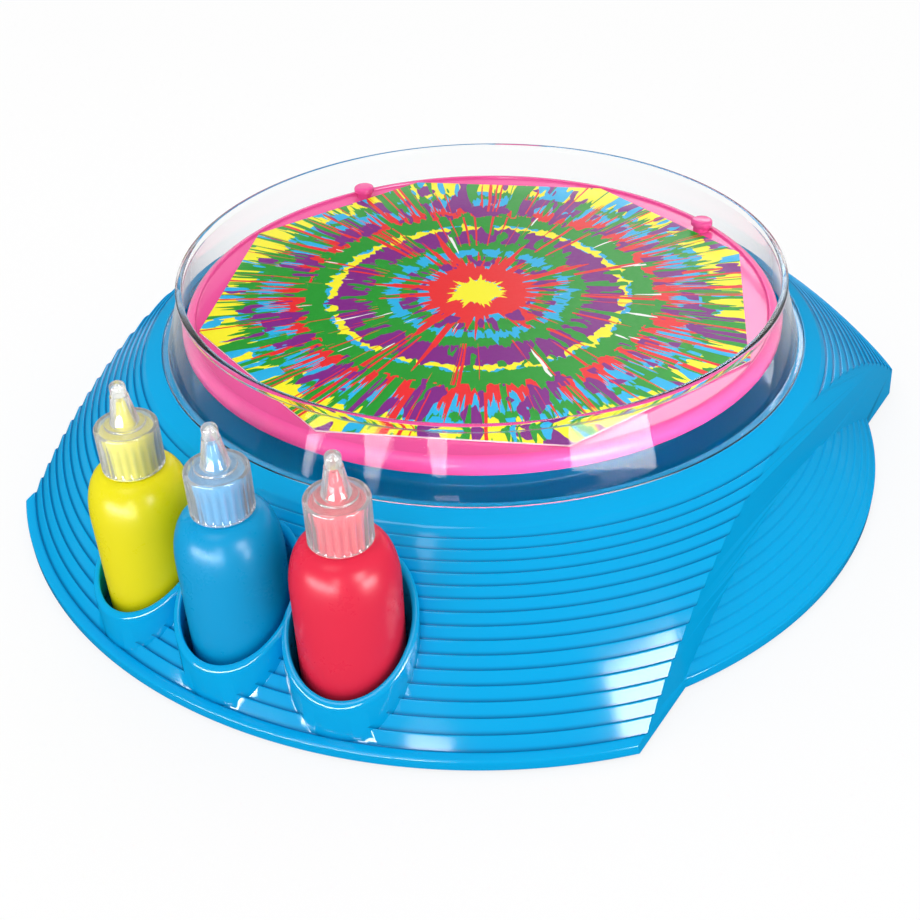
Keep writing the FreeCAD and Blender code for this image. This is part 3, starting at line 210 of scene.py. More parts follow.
# The cavity leaves out the screw pillars, the posts of the gear plate and a column round the button well.
# Each pillar and post has a blind hole for its screw.
PLATE_TOP, PILLAR_RADIUS, PILLAR_INSET, RECESS_PILLAR_INSET = 3.6, 4.2, 18.1, 19.8
PILLAR_ANGLES, POST_ANGLES = (20, 100, 204, 274), (150, 270, 15)
GEAR_PLATE_TOP, POST_RADIUS, POST_REACH = 33.0, 3.6, 27.0
SCREW_RADIUS, SCREW_DEPTH, SCREW_HOLE_LOW = 1.4, 9.0, 0.5
BUTTON_REACH, BUTTON_ANGLE, BUTTON_RADIUS, BUTTON_PAD = 130.0, 82.0, 8.8, 28.0
FLANGE_WIDTH, GUIDE_WALL, GUIDE_DEPTH, GUIDE_LAP, PAD_THICKNESS, BUTTON_FIT = 1.9, 2.0, 11.0, 1, 2.4, 0.2
button_centre = at(BUTTON_REACH, BUTTON_ANGLE)
well = BUTTON_RADIUS + FLANGE_WIDTH + GUIDE_WALL
pillars = [at(BASE_RADIUS - PILLAR_INSET, angle) for angle in PILLAR_ANGLES]
pillars += [at(reach - RECESS_PILLAR_INSET, angle) for angle, reach, _ in RECESSES.values()]
posts = [at(POST_REACH, angle) for angle in POST_ANGLES]
columns = [(well + GUIDE_WALL, BUTTON_PAD - GUIDE_DEPTH, button_centre)]
columns += [(PILLAR_RADIUS, PLATE_TOP, spot) for spot in pillars]
columns += [(POST_RADIUS, GEAR_PLATE_TOP, spot) for spot in posts]
for radius, low, spot in columns:
    hollow = combine(hollow, round_bar("column", radius, low, COLUMN_TOP, spot), "DIFFERENCE")
screw_holes = [(RIM_BOTTOM - WALL + SCREW_HOLE_LOW, PLATE_TOP + SCREW_DEPTH, spot) for spot in pillars]
screw_holes += [(GEAR_PLATE_TOP - PAST, PLATEAU_TOP - WALL, spot) for spot in posts]
for low, high, spot in screw_holes:
    hollow = combine(hollow, round_bar("screw_hole", SCREW_RADIUS, low, high, spot), "UNION")
housing = combine(housing, hollow, "DIFFERENCE")

# The three cups: upright tubes with a rounded lip that slopes down to the front, each cut clear of the
# next one's bore so that the lips meet in a cusp.
CUP_REACH, CUP_PITCH, CUP_BORE, CUP_WALL, CUP_FLOOR = 136.0, 14.2, 16.2, 2.0, 2.2
CUP_LIP, CUP_LIP_ROUND, CUP_SLOPE = 29.3, 0.9, 36.0
cup_angles = {"red": CUP_MIDDLE + CUP_PITCH, "blue": CUP_MIDDLE, "yellow": CUP_MIDDLE - CUP_PITCH}
cup_centres = {name: at(CUP_REACH, angle) for name, angle in cup_angles.items()}


def slanted_cup(angle):
    """Upright tube with a floor, whose upper half is sheared so that the lip slopes down outwards."""
    outer = CUP_BORE + CUP_WALL
    piece = lathe("cup", [
        (0, RIM_BOTTOM), (outer, RIM_BOTTOM), (outer, CUP_LIP, CUP_LIP_ROUND),
        (CUP_BORE, CUP_LIP, CUP_LIP_ROUND),
        (CUP_BORE, RIM_BOTTOM + CUP_FLOOR, 1.2), (0, RIM_BOTTOM + CUP_FLOOR)], steps=120)
    fall = math.tan(math.radians(CUP_SLOPE))
    for vertex in piece.data.vertices:
        if vertex.co.z > CUP_LIP / 2 * MM:
            vertex.co.z -= fall * vertex.co.x
    piece.data.transform(Matrix.Rotation(math.radians(angle), 4, "Z"))
    return piece


cups = []
for centre in cup_centres.values():
    room = round_bar("cup_room", CUP_BORE + CUP_WALL / 2, RIM_BOTTOM - PAST, CUTTER_TOP, centre)
    housing = combine(housing, room, "DIFFERENCE")
for name, centre in cup_centres.items():
    cup = put(slanted_cup(cup_angles[name]), *centre)
    for other, other_centre in cup_centres.items():
        if other != name:
            bore = round_bar("next_bore", CUP_BORE, RIM_BOTTOM + CUP_FLOOR, CUTTER_TOP, other_centre)
            cup = combine(cup, bore, "DIFFERENCE")
    cups.append(cup)
for cup in cups:
    housing = combine(housing, cup, "UNION")

# The button well at the back: a round pad with a guide tube below it, sunk where the dome is higher.
for radius, low, high in ((well, BUTTON_PAD, CUTTER_TOP), (well - GUIDE_LAP, 0, BUTTON_PAD + PAST)):
    housing = combine(housing, round_bar("well_cut", radius, low, high, button_centre), "DIFFERENCE")
guide = lathe("guide", [
    (BUTTON_RADIUS + BUTTON_FIT, BUTTON_PAD - PAD_THICKNESS), (BUTTON_RADIUS + BUTTON_FIT, BUTTON_PAD, 0.5),
    (well, BUTTON_PAD, 0.7), (well, BUTTON_PAD - GUIDE_DEPTH),
    (well - GUIDE_WALL + BUTTON_FIT, BUTTON_PAD - GUIDE_DEPTH),
    (well - GUIDE_WALL + BUTTON_FIT, BUTTON_PAD - PAD_THICKNESS)], steps=96, closed=True)
housing = combine(housing, put(guide, *button_centre), "UNION")

# Centre boss round the upper bush.
BOSS_RADIUS, BOSS_RISE, BUSH_BORE, BUSH_CUT_LOW = 9.0, 2.0, 5.05, 20
boss = lathe("boss", [
    (BUSH_BORE, PLATEAU_TOP - WALL), (BUSH_BORE, PLATEAU_TOP + BOSS_RISE, 0.3),
    (BOSS_RADIUS, PLATEAU_TOP + BOSS_RISE, 0.5), (BOSS_RADIUS, PLATEAU_TOP - WALL)], steps=96, closed=True)
housing = combine(housing, round_bar("bush_hole", BUSH_BORE, BUSH_CUT_LOW, CUTTER_TOP), "DIFFERENCE")
housing = combine(housing, boss, "UNION")
housing.name = "housing_moulding"
soft_shaded(housing)


# Materials are node trees.  A node is made with the inputs it needs; a socket given as an input is linked.
def add_node(tree, kind, settings=None, **inputs):
    node = tree.nodes.new(kind)
    for name, value in (settings or {}).items():
        setattr(node, name, value)
    for name, value in inputs.items():
        socket = node.inputs[int(name[1:])] if name[0] == "i" and name[1:].isdigit() else node.inputs[
            name.replace("_", " ")]
        if isinstance(value, bpy.types.NodeSocket):
            tree.links.new(value, socket)
        else:
            socket.default_value = value
    return node


def maths(tree, operation, first, second=0.0, third=0.0):
    return add_node(tree, "ShaderNodeMath", {"operation": operation}, i0=first, i1=second,
                    i2=third).outputs[0]


def new_group(name, inputs, outputs):
    group = bpy.data.node_groups.new(name, "ShaderNodeTree")
    for label, kind, value in inputs:
        socket = group.interface.new_socket(label, in_out="INPUT", socket_type=kind)
        if value is not None:
            socket.default_value = value
    for label, kind in outputs:
        group.interface.new_socket(label, in_out="OUTPUT", socket_type=kind)
    return group, group.nodes.new("NodeGroupInput"), group.nodes.new("NodeGroupOutput")


# Moulded skin: the faint ripple, cloudy gloss and slow drift of colour that injection moulding leaves.
skin, skin_in, skin_out = new_group(
    "moulded_skin",
    [("Position", "NodeSocketVector", None), ("Colour", "NodeSocketColor", (1, 1, 1, 1)),
     ("Drift", "NodeSocketFloat", 0.04), ("Gloss", "NodeSocketFloat", 0.2),
     ("Cloud", "NodeSocketFloat", 0.1)],
    [("Colour", "NodeSocketColor"), ("Roughness", "NodeSocketFloat"), ("Height", "NodeSocketFloat")])
place = skin_in.outputs["Position"]
slow = add_node(skin, "ShaderNodeTexNoise", Vector=place, Scale=14.0, Detail=3.0)
fine = add_node(skin, "ShaderNodeTexNoise", Vector=place, Scale=420.0, Detail=2.0)
scuff = add_node(skin, "ShaderNodeTexNoise", Vector=place, Scale=60.0, Detail=6.0, Roughness=0.7)
lift = maths(skin, "MULTIPLY", maths(skin, "SUBTRACT", slow.outputs["Fac"], 0.5), skin_in.outputs["Drift"])
bright = add_node(skin, "ShaderNodeHueSaturation", Color=skin_in.outputs["Colour"],
                  Value=maths(skin, "ADD", lift, 1.0))
cloudy = maths(skin, "MULTIPLY", maths(skin, "SUBTRACT", scuff.outputs["Fac"], 0.5),
               skin_in.outputs["Cloud"])
skin.links.new(bright.outputs["Color"], skin_out.inputs["Colour"])
skin.links.new(maths(skin, "ADD", cloudy, skin_in.outputs["Gloss"]), skin_out.inputs["Roughness"])
skin.links.new(maths(skin, "ADD", maths(skin, "MULTIPLY", fine.outputs["Fac"], 0.25), slow.outputs["Fac"]),
               skin_out.inputs["Height"])


def plastic(name, colour, gloss, cloud=0.1, drift=0.05, ripple=0.02, **shader):
    """Moulded plastic; ripple is the depth in millimetres that the bump stands for."""
    material = bpy.data.materials.new(name)
    material.use_nodes = True
    tree = material.node_tree
    tree.nodes.clear()
    place = add_node(tree, "ShaderNodeTexCoord").outputs["Object"]
    surface = add_node(tree, "ShaderNodeGroup", {"node_tree": skin}, Position=place,
                       Colour=(*colour, 1), Drift=drift, Gloss=gloss, Cloud=cloud)
    bump = add_node(tree, "ShaderNodeBump", Height=surface.outputs["Height"], Distance=ripple * MM,
                    Strength=0.6)
    principled = add_node(tree, "ShaderNodeBsdfPrincipled", Base_Color=surface.outputs["Colour"],
                          Roughness=surface.outputs["Roughness"], Normal=bump.outputs["Normal"],
                          **shader)
    add_node(tree, "ShaderNodeOutputMaterial", Surface=principled.outputs["BSDF"])
    return material


def add_painted_shade(material, mask, tint):
    """Paints shade into the colour of a moulded material: multiplies it by a tint, as far as a mask in its
    tree says.
    """
    tree = material.node_tree
    mixed = add_node(tree, "ShaderNodeMix", {"data_type": "RGBA", "blend_type": "MULTIPLY"}, i0=mask,
                     i6=tree.nodes["Group"].outputs["Colour"], i7=(*tint, 1))
    tree.links.new(mixed.outputs[2], tree.nodes["Principled BSDF"].inputs["Base Color"])


def dress(piece, material):
    piece.data.materials.clear()
    piece.data.materials.append(material)


# Shade in the dome's grooves.  The distance down the slope gives the rib that a point is on, and the
# distance off the slope keeps cups, flats and bowl free.
GROOVE_REACH, GROOVE_START, GROOVE_END, GROOVE_CURVE = 1.3, 0.66, 0.97, 1.6
groove, groove_in, groove_out = new_group("groove_shade", [("Position", "NodeSocketVector", None)],
                                          [("Shade", "NodeSocketFloat")])
parts = add_node(groove, "ShaderNodeSeparateXYZ", Vector=groove_in.outputs["Position"])
in_plan = add_node(groove, "ShaderNodeVectorMath", {"operation": "MULTIPLY"},
                   i0=groove_in.outputs["Position"], i1=(1, 1, 0))
reach = add_node(groove, "ShaderNodeVectorMath", {"operation": "LENGTH"}, i0=in_plan.outputs[0])
out = maths(groove, "SUBTRACT", reach.outputs["Value"], LAND_RADIUS * MM)
down = maths(groove, "SUBTRACT", DOME_TOP * MM, parts.outputs["Z"])
slope_length = math.hypot(DOME_WIDTH, DOME_HEIGHT) * MM
along = maths(groove, "MULTIPLY_ADD", out, math.cos(DOME_SLOPE) / slope_length,
              maths(groove, "MULTIPLY", down, math.sin(DOME_SLOPE) / slope_length))
off = maths(groove, "SUBTRACT", maths(groove, "MULTIPLY", out, math.sin(DOME_SLOPE) / MM),
            maths(groove, "MULTIPLY", down, math.cos(DOME_SLOPE) / MM))
bulge = maths(groove, "MULTIPLY", maths(groove, "MULTIPLY", along, maths(groove, "SUBTRACT", 1.0, along)),
              4 * DOME_BULGE)
near = maths(groove, "LESS_THAN", maths(groove, "ABSOLUTE", maths(groove, "SUBTRACT", off, bulge)),
             RIB_STEP * GROOVE_REACH)
inside = maths(groove, "MULTIPLY", maths(groove, "GREATER_THAN", along, 0.0),
               maths(groove, "LESS_THAN", along, 1.0))
root = maths(groove, "SQRT", maths(groove, "MAXIMUM", maths(
    groove, "MULTIPLY_ADD", along, 4 * RIB_GROWTH, (1 - RIB_GROWTH) ** 2), 0.0))
rib = maths(groove, "FRACT", maths(groove, "MULTIPLY", maths(groove, "SUBTRACT", root, 1 - RIB_GROWTH),
                                   RIB_COUNT / (2 * RIB_GROWTH)))
corner = add_node(groove, "ShaderNodeMapRange", Value=rib, From_Min=GROOVE_START,
                  From_Max=GROOVE_END).outputs["Result"]
shade = maths(groove, "MULTIPLY", maths(groove, "POWER", corner, GROOVE_CURVE),
              maths(groove, "MULTIPLY", near, inside))
groove.links.new(shade, groove_out.inputs["Shade"])

blue_plastic = plastic("blue_abs", (0.001, 0.41, 0.81), gloss=0.11, cloud=0.08, drift=0.06)
tree = blue_plastic.node_tree
grooved = add_node(tree, "ShaderNodeGroup", {"node_tree": groove},
                   Position=tree.nodes["Texture Coordinate"].outputs["Object"])
add_painted_shade(blue_plastic, grooved.outputs["Shade"], (0.6, 0.5, 0.6))
dress(housing, blue_plastic)
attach(housing, "base")
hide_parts("housing_shell")

# ------------------------------------------------------------------ underside: base plate, door, feet
# The base plate and the battery door are of the same ABS with a duller face.  Rubber feet are glued on
# and zinc-plated screws hold the plate to the housing's pillars.
matt_blue = plastic("blue_abs_matt", (0.002, 0.36, 0.74), gloss=0.45, cloud=0.15)
dress(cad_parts["base_plate"], matt_blue)
dress(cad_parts["battery_door"], matt_blue)
dress(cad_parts["rubber_feet"], plastic("foot_rubber", (0.02, 0.02, 0.022), gloss=0.75, ripple=0.05))


def metal(name, colour, gloss, brush):
    """Metal with fine marks; brush stretches them along the turning direction."""
    material = bpy.data.materials.new(name)
    material.use_nodes = True
    tree = material.node_tree
    tree.nodes.clear()
    place = add_node(tree, "ShaderNodeTexCoord").outputs["Object"]
    stretched = add_node(tree, "ShaderNodeMapping", Vector=place, Scale=(1, 1, brush)).outputs["Vector"]
    marks = add_node(tree, "ShaderNodeTexNoise", Vector=stretched, Scale=700.0, Detail=4.0)
    tarnish = add_node(tree, "ShaderNodeTexNoise", Vector=place, Scale=90.0, Detail=3.0)
    shade = add_node(tree, "ShaderNodeHueSaturation", Color=(*colour, 1),
                     Value=maths(tree, "ADD", maths(tree, "MULTIPLY", tarnish.outputs["Fac"], 0.3), 0.85))
    bump = add_node(tree, "ShaderNodeBump", Height=marks.outputs["Fac"], Distance=0.01 * MM)
    rough = maths(tree, "ADD", maths(tree, "MULTIPLY", marks.outputs["Fac"], 0.15), gloss)
    principled = add_node(tree, "ShaderNodeBsdfPrincipled", Base_Color=shade.outputs["Color"], Metallic=1.0,
                          Roughness=rough, Normal=bump.outputs["Normal"])
    add_node(tree, "ShaderNodeOutputMaterial", Surface=principled.outputs["BSDF"])
    return material


zinc = metal("zinc_plate", (0.62, 0.64, 0.66), 0.25, 1)
for node in ("base_screws", "gear_plate_screws", "turntable_screw", "spindle_clip"):
    dress(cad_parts[node], zinc)

# ------------------------------------------------------------------ drive: cells, motor and gears
# Four cells drive a small motor.  Its pinion turns the stepped idler, and that turns the spindle's gear.
# All of it is out of sight under the bowl and keeps its engineering shapes.
sleeve = plastic("cell_sleeve", (0.22, 0.23, 0.25), gloss=0.3)
acetal = plastic("gear_acetal", (0.82, 0.81, 0.77), gloss=0.42)
black_nylon = plastic("black_nylon", (0.018, 0.018, 0.02), gloss=0.4)
bright_steel = metal("ground_steel", (0.66, 0.67, 0.69), 0.15, 0.05)
nickel = metal("nickel_plate", (0.6, 0.59, 0.56), 0.22, 1)
bronze = metal("bush_bronze", (0.62, 0.4, 0.16), 0.3, 0.1)
for material, names in (
        (sleeve, ("battery_cells",)), (nickel, ("battery_contacts", "motor")),
        (acetal, ("main_gear", "idler_gear", "motor_pinion")),
        (black_nylon, ("gear_plate", "power_switch")),
        (bright_steel, ("motor_shaft", "idler_pin", "spindle", "button_spring")),
        (bronze, ("upper_bush", "lower_bush"))):
    for name in names:
        dress(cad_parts[name], material)

# ------------------------------------------------------------------ pink turntable
# A shallow moulded tray with a raised lip, two headed pegs that bracket the card, stiffening ribs and a
# hub on the spindle.
TRAY_RADIUS, TRAY_FACE, TRAY_BOTTOM, TRAY_SHELL = 97.0, 54.0, 50.0, 2.0
TRAY_ROUND, LIP_RISE, LIP_RADIUS, HUB_RADIUS, HUB_BOTTOM = 3.0, 0.9, 93.3, 8.0, 47.05
TRAY_RIBS, TRAY_RIB_WIDTH, TRAY_RIB_DEPTH = 12, 1.4, 2.6
SCREW_SEAT, SCREW_WELL, SCREW_HOLE, SPINDLE_HOLE, SPINDLE_TOP = 52.5, 3.65, 1.45, 2.5, 50.8
PEG_REACH, PEG_ANGLE, PEG_STEM, PEG_HEAD, PEG_NECK, PEG_HEIGHT = 90.9, 27.5, 2.9, 3.75, 1.9, 2.2
LIP_DRAFT = 0.2
# How far a peg runs into the tray, and a rib into the hub, the rim and the face.
PEG_LAP, HUB_LAP, RIM_LAP, FACE_LAP = 1, 1, 0.5, 0.8
lip_top = TRAY_FACE + LIP_RISE
shell_low = TRAY_FACE - TRAY_SHELL
tray = lathe("turntable_tray", [
    (SPINDLE_HOLE, HUB_BOTTOM), (SPINDLE_HOLE, SPINDLE_TOP), (SCREW_HOLE, SPINDLE_TOP),
    (SCREW_HOLE, SCREW_SEAT), (SCREW_WELL, SCREW_SEAT), (SCREW_WELL, TRAY_FACE, 0.3),
    (LIP_RADIUS, TRAY_FACE, 0.4), (LIP_RADIUS + LIP_DRAFT, lip_top, 0.35),
    (TRAY_RADIUS, lip_top, TRAY_ROUND), (TRAY_RADIUS, TRAY_BOTTOM, 0.5),
    (TRAY_RADIUS - TRAY_SHELL, TRAY_BOTTOM, 0.5), (TRAY_RADIUS - TRAY_SHELL, shell_low, 0.6),
    (HUB_RADIUS, shell_low, 0.6), (HUB_RADIUS, HUB_BOTTOM, 0.4)], steps=288, closed=True)
for index in range(2):
    peg = lathe("peg", [
        (0, TRAY_FACE - PEG_LAP), (PEG_STEM, TRAY_FACE - PEG_LAP), (PEG_STEM, TRAY_FACE + PEG_NECK, 0.3),
        (PEG_HEAD, TRAY_FACE + PEG_NECK, 0.3), (PEG_HEAD, TRAY_FACE + PEG_NECK + PEG_HEIGHT, 1.0),
        (0, TRAY_FACE + PEG_NECK + PEG_HEIGHT)], steps=64)
    tray = combine(tray, put(peg, *at(PEG_REACH, PEG_ANGLE + 90 * index)), "UNION")
for index in range(TRAY_RIBS):
    rib = bmesh.new()
    bmesh.ops.create_cube(rib, size=1)
    start, end = HUB_RADIUS - HUB_LAP, TRAY_RADIUS - TRAY_SHELL + RIM_LAP
    height = TRAY_RIB_DEPTH + FACE_LAP
    bmesh.ops.scale(rib, verts=rib.verts[:],
                    vec=((end - start) * MM, TRAY_RIB_WIDTH * MM, height * MM))
    bmesh.ops.translate(rib, verts=rib.verts[:],
                        vec=((start + end) / 2 * MM, 0, (shell_low - TRAY_RIB_DEPTH + height / 2) * MM))
    bmesh.ops.rotate(rib, verts=rib.verts[:], matrix=Matrix.Rotation(math.tau * index / TRAY_RIBS, 3, "Z"))
    tray = combine(tray, as_piece("tray_rib", rib), "UNION")
soft_shaded(tray)
dress(tray, plastic("pink_styrene", (0.89, 0.085, 0.34), gloss=0.16, cloud=0.08, drift=0.05))
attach(tray, "turntable")
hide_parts("turntable")

# ------------------------------------------------------------------ painted card
# Stiff white octagonal card with poster paint thrown outwards by the spin: rings with long drips, thin
# streaks and blobs, slightly raised where the paint is thick.
CARD_APOTHEM, CARD_LOW, CARD_THICKNESS, CARD_ANGLE, CARD_ROUND = 85.6, 54.05, 0.8, 13.4, 0.12
sheet = bmesh.new()
bmesh.ops.create_circle(sheet, cap_ends=True, segments=8,
                        radius=CARD_APOTHEM / math.cos(math.pi / 8) * MM)
bmesh.ops.rotate(sheet, verts=sheet.verts[:], matrix=Matrix.Rotation(math.radians(CARD_ANGLE), 3, "Z"))
bmesh.ops.translate(sheet, verts=sheet.verts[:], vec=(0, 0, CARD_LOW * MM))
raised = bmesh.ops.extrude_face_region(sheet, geom=sheet.faces[:])
bmesh.ops.translate(sheet, verts=[item for item in raised["geom"] if isinstance(item, bmesh.types.BMVert)],
                    vec=(0, 0, CARD_THICKNESS * MM))
bmesh.ops.recalc_face_normals(sheet, faces=sheet.faces[:])
bmesh.ops.bevel(sheet, geom=sheet.edges[:], offset=CARD_ROUND * MM, segments=2, profile=0.5,
                affect="EDGES", material=-1)
card = as_piece("painted_card", sheet)

# One ring of thrown paint: its inner and outer edges run out into spikes that follow the radius.
ring, ring_in, ring_out = new_group(
    "thrown_ring",
    [("Direction", "NodeSocketVector", None), ("Radius", "NodeSocketFloat", 0.0),
     ("Inner", "NodeSocketFloat", 10.0), ("Outer", "NodeSocketFloat", 20.0),
     ("Inner Drip", "NodeSocketFloat", 3.0), ("Outer Drip", "NodeSocketFloat", 10.0),
     ("Spikes", "NodeSocketFloat", 8.0), ("Seed", "NodeSocketFloat", 0.0)],
    [("Mask", "NodeSocketFloat")])
spread = add_node(ring, "ShaderNodeVectorMath", {"operation": "SCALE"}, Vector=ring_in.outputs["Direction"],
                  Scale=ring_in.outputs["Spikes"])
sown = add_node(ring, "ShaderNodeCombineXYZ", Z=ring_in.outputs["Seed"])
shifted = add_node(ring, "ShaderNodeVectorMath", {"operation": "ADD"}, i0=spread.outputs[0],
                   i1=sown.outputs[0])
ragged = add_node(ring, "ShaderNodeTexNoise", Vector=shifted.outputs[0], Scale=1.0, Detail=2.5,
                  Roughness=0.65)
channels = add_node(ring, "ShaderNodeSeparateColor", Color=ragged.outputs["Color"])


DRIP_CURVE = 1.8


def drip(channel, length):
    """Long thin spikes where the noise is high, nearly none where it is low."""
    rise = add_node(ring, "ShaderNodeMapRange", Value=channels.outputs[channel], From_Min=0.38,
                    From_Max=0.72).outputs["Result"]
    return maths(ring, "MULTIPLY", maths(ring, "POWER", rise, DRIP_CURVE), length)


outer_edge = maths(ring, "ADD", ring_in.outputs["Outer"], drip("Red", ring_in.outputs["Outer Drip"]))
inner_edge = maths(ring, "SUBTRACT", ring_in.outputs["Inner"], drip("Green", ring_in.outputs["Inner Drip"]))
within = maths(ring, "MULTIPLY", maths(ring, "LESS_THAN", ring_in.outputs["Radius"], outer_edge),
               maths(ring, "GREATER_THAN", ring_in.outputs["Radius"], inner_edge))
ring.links.new(within, ring_out.inputs["Mask"])

# Blobs drawn out along the radius, kept between two radii.
blobs, blobs_in, blobs_out = new_group(
    "drawn_blobs",
    [("Direction", "NodeSocketVector", None), ("Radius", "NodeSocketFloat", 0.0),
     ("Inner", "NodeSocketFloat", 10.0), ("Outer", "NodeSocketFloat", 20.0),
     ("Count", "NodeSocketFloat", 8.0), ("Length", "NodeSocketFloat", 0.1),
     ("Size", "NodeSocketFloat", 0.35), ("Seed", "NodeSocketFloat", 0.0)],
    [("Mask", "NodeSocketFloat")])
spread = add_node(blobs, "ShaderNodeVectorMath", {"operation": "SCALE"},
                  Vector=blobs_in.outputs["Direction"], Scale=blobs_in.outputs["Count"])
along = maths(blobs, "ADD", maths(blobs, "MULTIPLY", blobs_in.outputs["Radius"],
                                  blobs_in.outputs["Length"]), blobs_in.outputs["Seed"])
lifted = add_node(blobs, "ShaderNodeCombineXYZ", Z=along)
shifted = add_node(blobs, "ShaderNodeVectorMath", {"operation": "ADD"}, i0=spread.outputs[0],
                   i1=lifted.outputs[0])
wobble = add_node(blobs, "ShaderNodeTexNoise", Vector=shifted.outputs[0], Scale=2.2, Detail=1.0)
cells = add_node(blobs, "ShaderNodeTexNoise", Vector=shifted.outputs[0], Scale=1.0, Detail=1.5,
                 Roughness=0.4)
level = maths(blobs, "ADD", cells.outputs["Fac"],
              maths(blobs, "MULTIPLY", maths(blobs, "SUBTRACT", wobble.outputs["Fac"], 0.5), 0.25))
spot = maths(blobs, "GREATER_THAN", level, maths(blobs, "SUBTRACT", 1.0, blobs_in.outputs["Size"]))
far = maths(blobs, "GREATER_THAN", blobs_in.outputs["Radius"], blobs_in.outputs["Inner"])
near = maths(blobs, "LESS_THAN", blobs_in.outputs["Radius"], blobs_in.outputs["Outer"])
blobs.links.new(maths(blobs, "MULTIPLY", spot, maths(blobs, "MULTIPLY", far, near)),
                blobs_out.inputs["Mask"])

PAINTS = {
    "sky": (0.0, 0.43, 0.78), "white": (0.88, 0.88, 0.86), "yellow": (0.93, 0.85, 0.0),
    "green": (0.008, 0.33, 0.02), "red": (0.83, 0.008, 0.012), "purple": (0.22, 0.006, 0.24),
}
# paint, inner and outer radius, inner and outer drip, spikes, seed; all lengths in millimetres
RINGS = [
    ("yellow", 80, 96, 14, 0, 9, 1.0), ("green", 73, 75, 5, 16, 21, 2.0), ("sky", 64, 71, 4, 12, 26, 3.0),
    ("red", 56, 62, 3, 28, 34, 4.0), ("green", 51, 57, 4, 9, 13, 5.0), ("yellow", 46.5, 48.5, 5, 5, 9, 6.0),
    ("purple", 35, 46, 3, 6, 7, 7.0), ("green", 31, 35, 3, 5, 12, 8.0), ("sky", 25, 29, 3, 7, 9, 9.0),
    ("green", 21, 25, 3, 6, 8, 12.0), ("red", 8, 16, 3, 40, 7, 10.0), ("yellow", -1, 7, 0, 7, 4, 11.0),
]
# paint, inner and outer radius, count round the card, stretch, share covered, seed
BLOBS = [
    ("purple", 60, 96, 11, 0.05, 0.42, 21.0), ("green", 58, 96, 17, 0.03, 0.42, 22.0),
    ("purple", 56, 72, 12, 0.07, 0.40, 23.0), ("red", 62, 96, 48, 0.006, 0.37, 24.0),
    ("green", 26, 50, 9, 0.07, 0.42, 25.0), ("purple", 18, 27, 7, 0.12, 0.42, 26.0),
    ("green", 66, 96, 42, 0.008, 0.35, 27.0), ("red", 34, 58, 30, 0.01, 0.35, 28.0),
    ("white", 22, 60, 24, 0.04, 0.26, 29.0), ("sky", 76, 96, 16, 0.04, 0.38, 30.0),
]
WANDER, PAINT_RELIEF, TOP_SKIN = 1.6, 0.25, 0.2
paint = bpy.data.materials.new("spun_paint")
paint.use_nodes = True
tree = paint.node_tree
tree.nodes.clear()
place = add_node(tree, "ShaderNodeTexCoord").outputs["Object"]
drift = add_node(tree, "ShaderNodeTexNoise", Vector=place, Scale=40.0, Detail=2.0)
bent = add_node(tree, "ShaderNodeVectorMath", {"operation": "MULTIPLY_ADD"}, i0=drift.outputs["Color"],
                i1=(WANDER * MM, WANDER * MM, 0), i2=place)
parts = add_node(tree, "ShaderNodeSeparateXYZ", Vector=bent.outputs[0])
flat = add_node(tree, "ShaderNodeCombineXYZ", X=parts.outputs["X"], Y=parts.outputs["Y"])
direction = add_node(tree, "ShaderNodeVectorMath", {"operation": "NORMALIZE"}, Vector=flat.outputs[0])
length = add_node(tree, "ShaderNodeVectorMath", {"operation": "LENGTH"}, Vector=flat.outputs[0])
radius = maths(tree, "DIVIDE", length.outputs["Value"], MM)
colour, thick = (*PAINTS["sky"], 1), 0.0


def lay_paint(mask, name, colour, thick):
    """Lays a paint over what is there, and adds to the thickness."""
    mixed = add_node(tree, "ShaderNodeMix", {"data_type": "RGBA"}, i0=mask, i6=colour,
                     i7=(*PAINTS[name], 1))
    return mixed.outputs[2], maths(tree, "MULTIPLY_ADD", mask, 0.5, maths(tree, "MULTIPLY", thick, 0.5))


def blob_mask(inner, outer, count, stretch, share, seed):
    return add_node(tree, "ShaderNodeGroup", {"node_tree": blobs}, Direction=direction.outputs[0],
                    Radius=radius, Inner=inner, Outer=outer, Count=count, Length=stretch, Size=share,
                    Seed=seed).outputs["Mask"]


for name, inner, outer, inner_drip, outer_drip, spikes, seed in RINGS:
    mask = add_node(tree, "ShaderNodeGroup", {"node_tree": ring}, Direction=direction.outputs[0],
                    Radius=radius, Inner=inner, Outer=outer, Inner_Drip=inner_drip,
                    Outer_Drip=outer_drip, Spikes=spikes, Seed=seed).outputs["Mask"]
    colour, thick = lay_paint(mask, name, colour, thick)
for name, *sizes in BLOBS:
    colour, thick = lay_paint(blob_mask(*sizes), name, colour, thick)
grain = add_node(tree, "ShaderNodeTexNoise", Vector=place, Scale=900.0, Detail=3.0)
height = maths(tree, "MULTIPLY_ADD", grain.outputs["Fac"], 0.08, thick)
relief = add_node(tree, "ShaderNodeBump", Height=height, Distance=PAINT_RELIEF * MM, Strength=0.5)
top = maths(tree, "GREATER_THAN", add_node(tree, "ShaderNodeSeparateXYZ", Vector=place).outputs["Z"],
            (CARD_LOW + CARD_THICKNESS - TOP_SKIN) * MM)
card_colour = add_node(tree, "ShaderNodeMix", {"data_type": "RGBA"}, i0=top, i6=(*PAINTS["white"], 1),
                       i7=colour)
sheen = maths(tree, "MULTIPLY_ADD", grain.outputs["Fac"], 0.2, 0.28)
surface = add_node(tree, "ShaderNodeBsdfPrincipled", Base_Color=card_colour.outputs[2], Roughness=sheen,
                   Normal=relief.outputs["Normal"])
add_node(tree, "ShaderNodeOutputMaterial", Surface=surface.outputs["BSDF"])
dress(card, paint)
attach(card, "card")
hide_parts("paint_card")

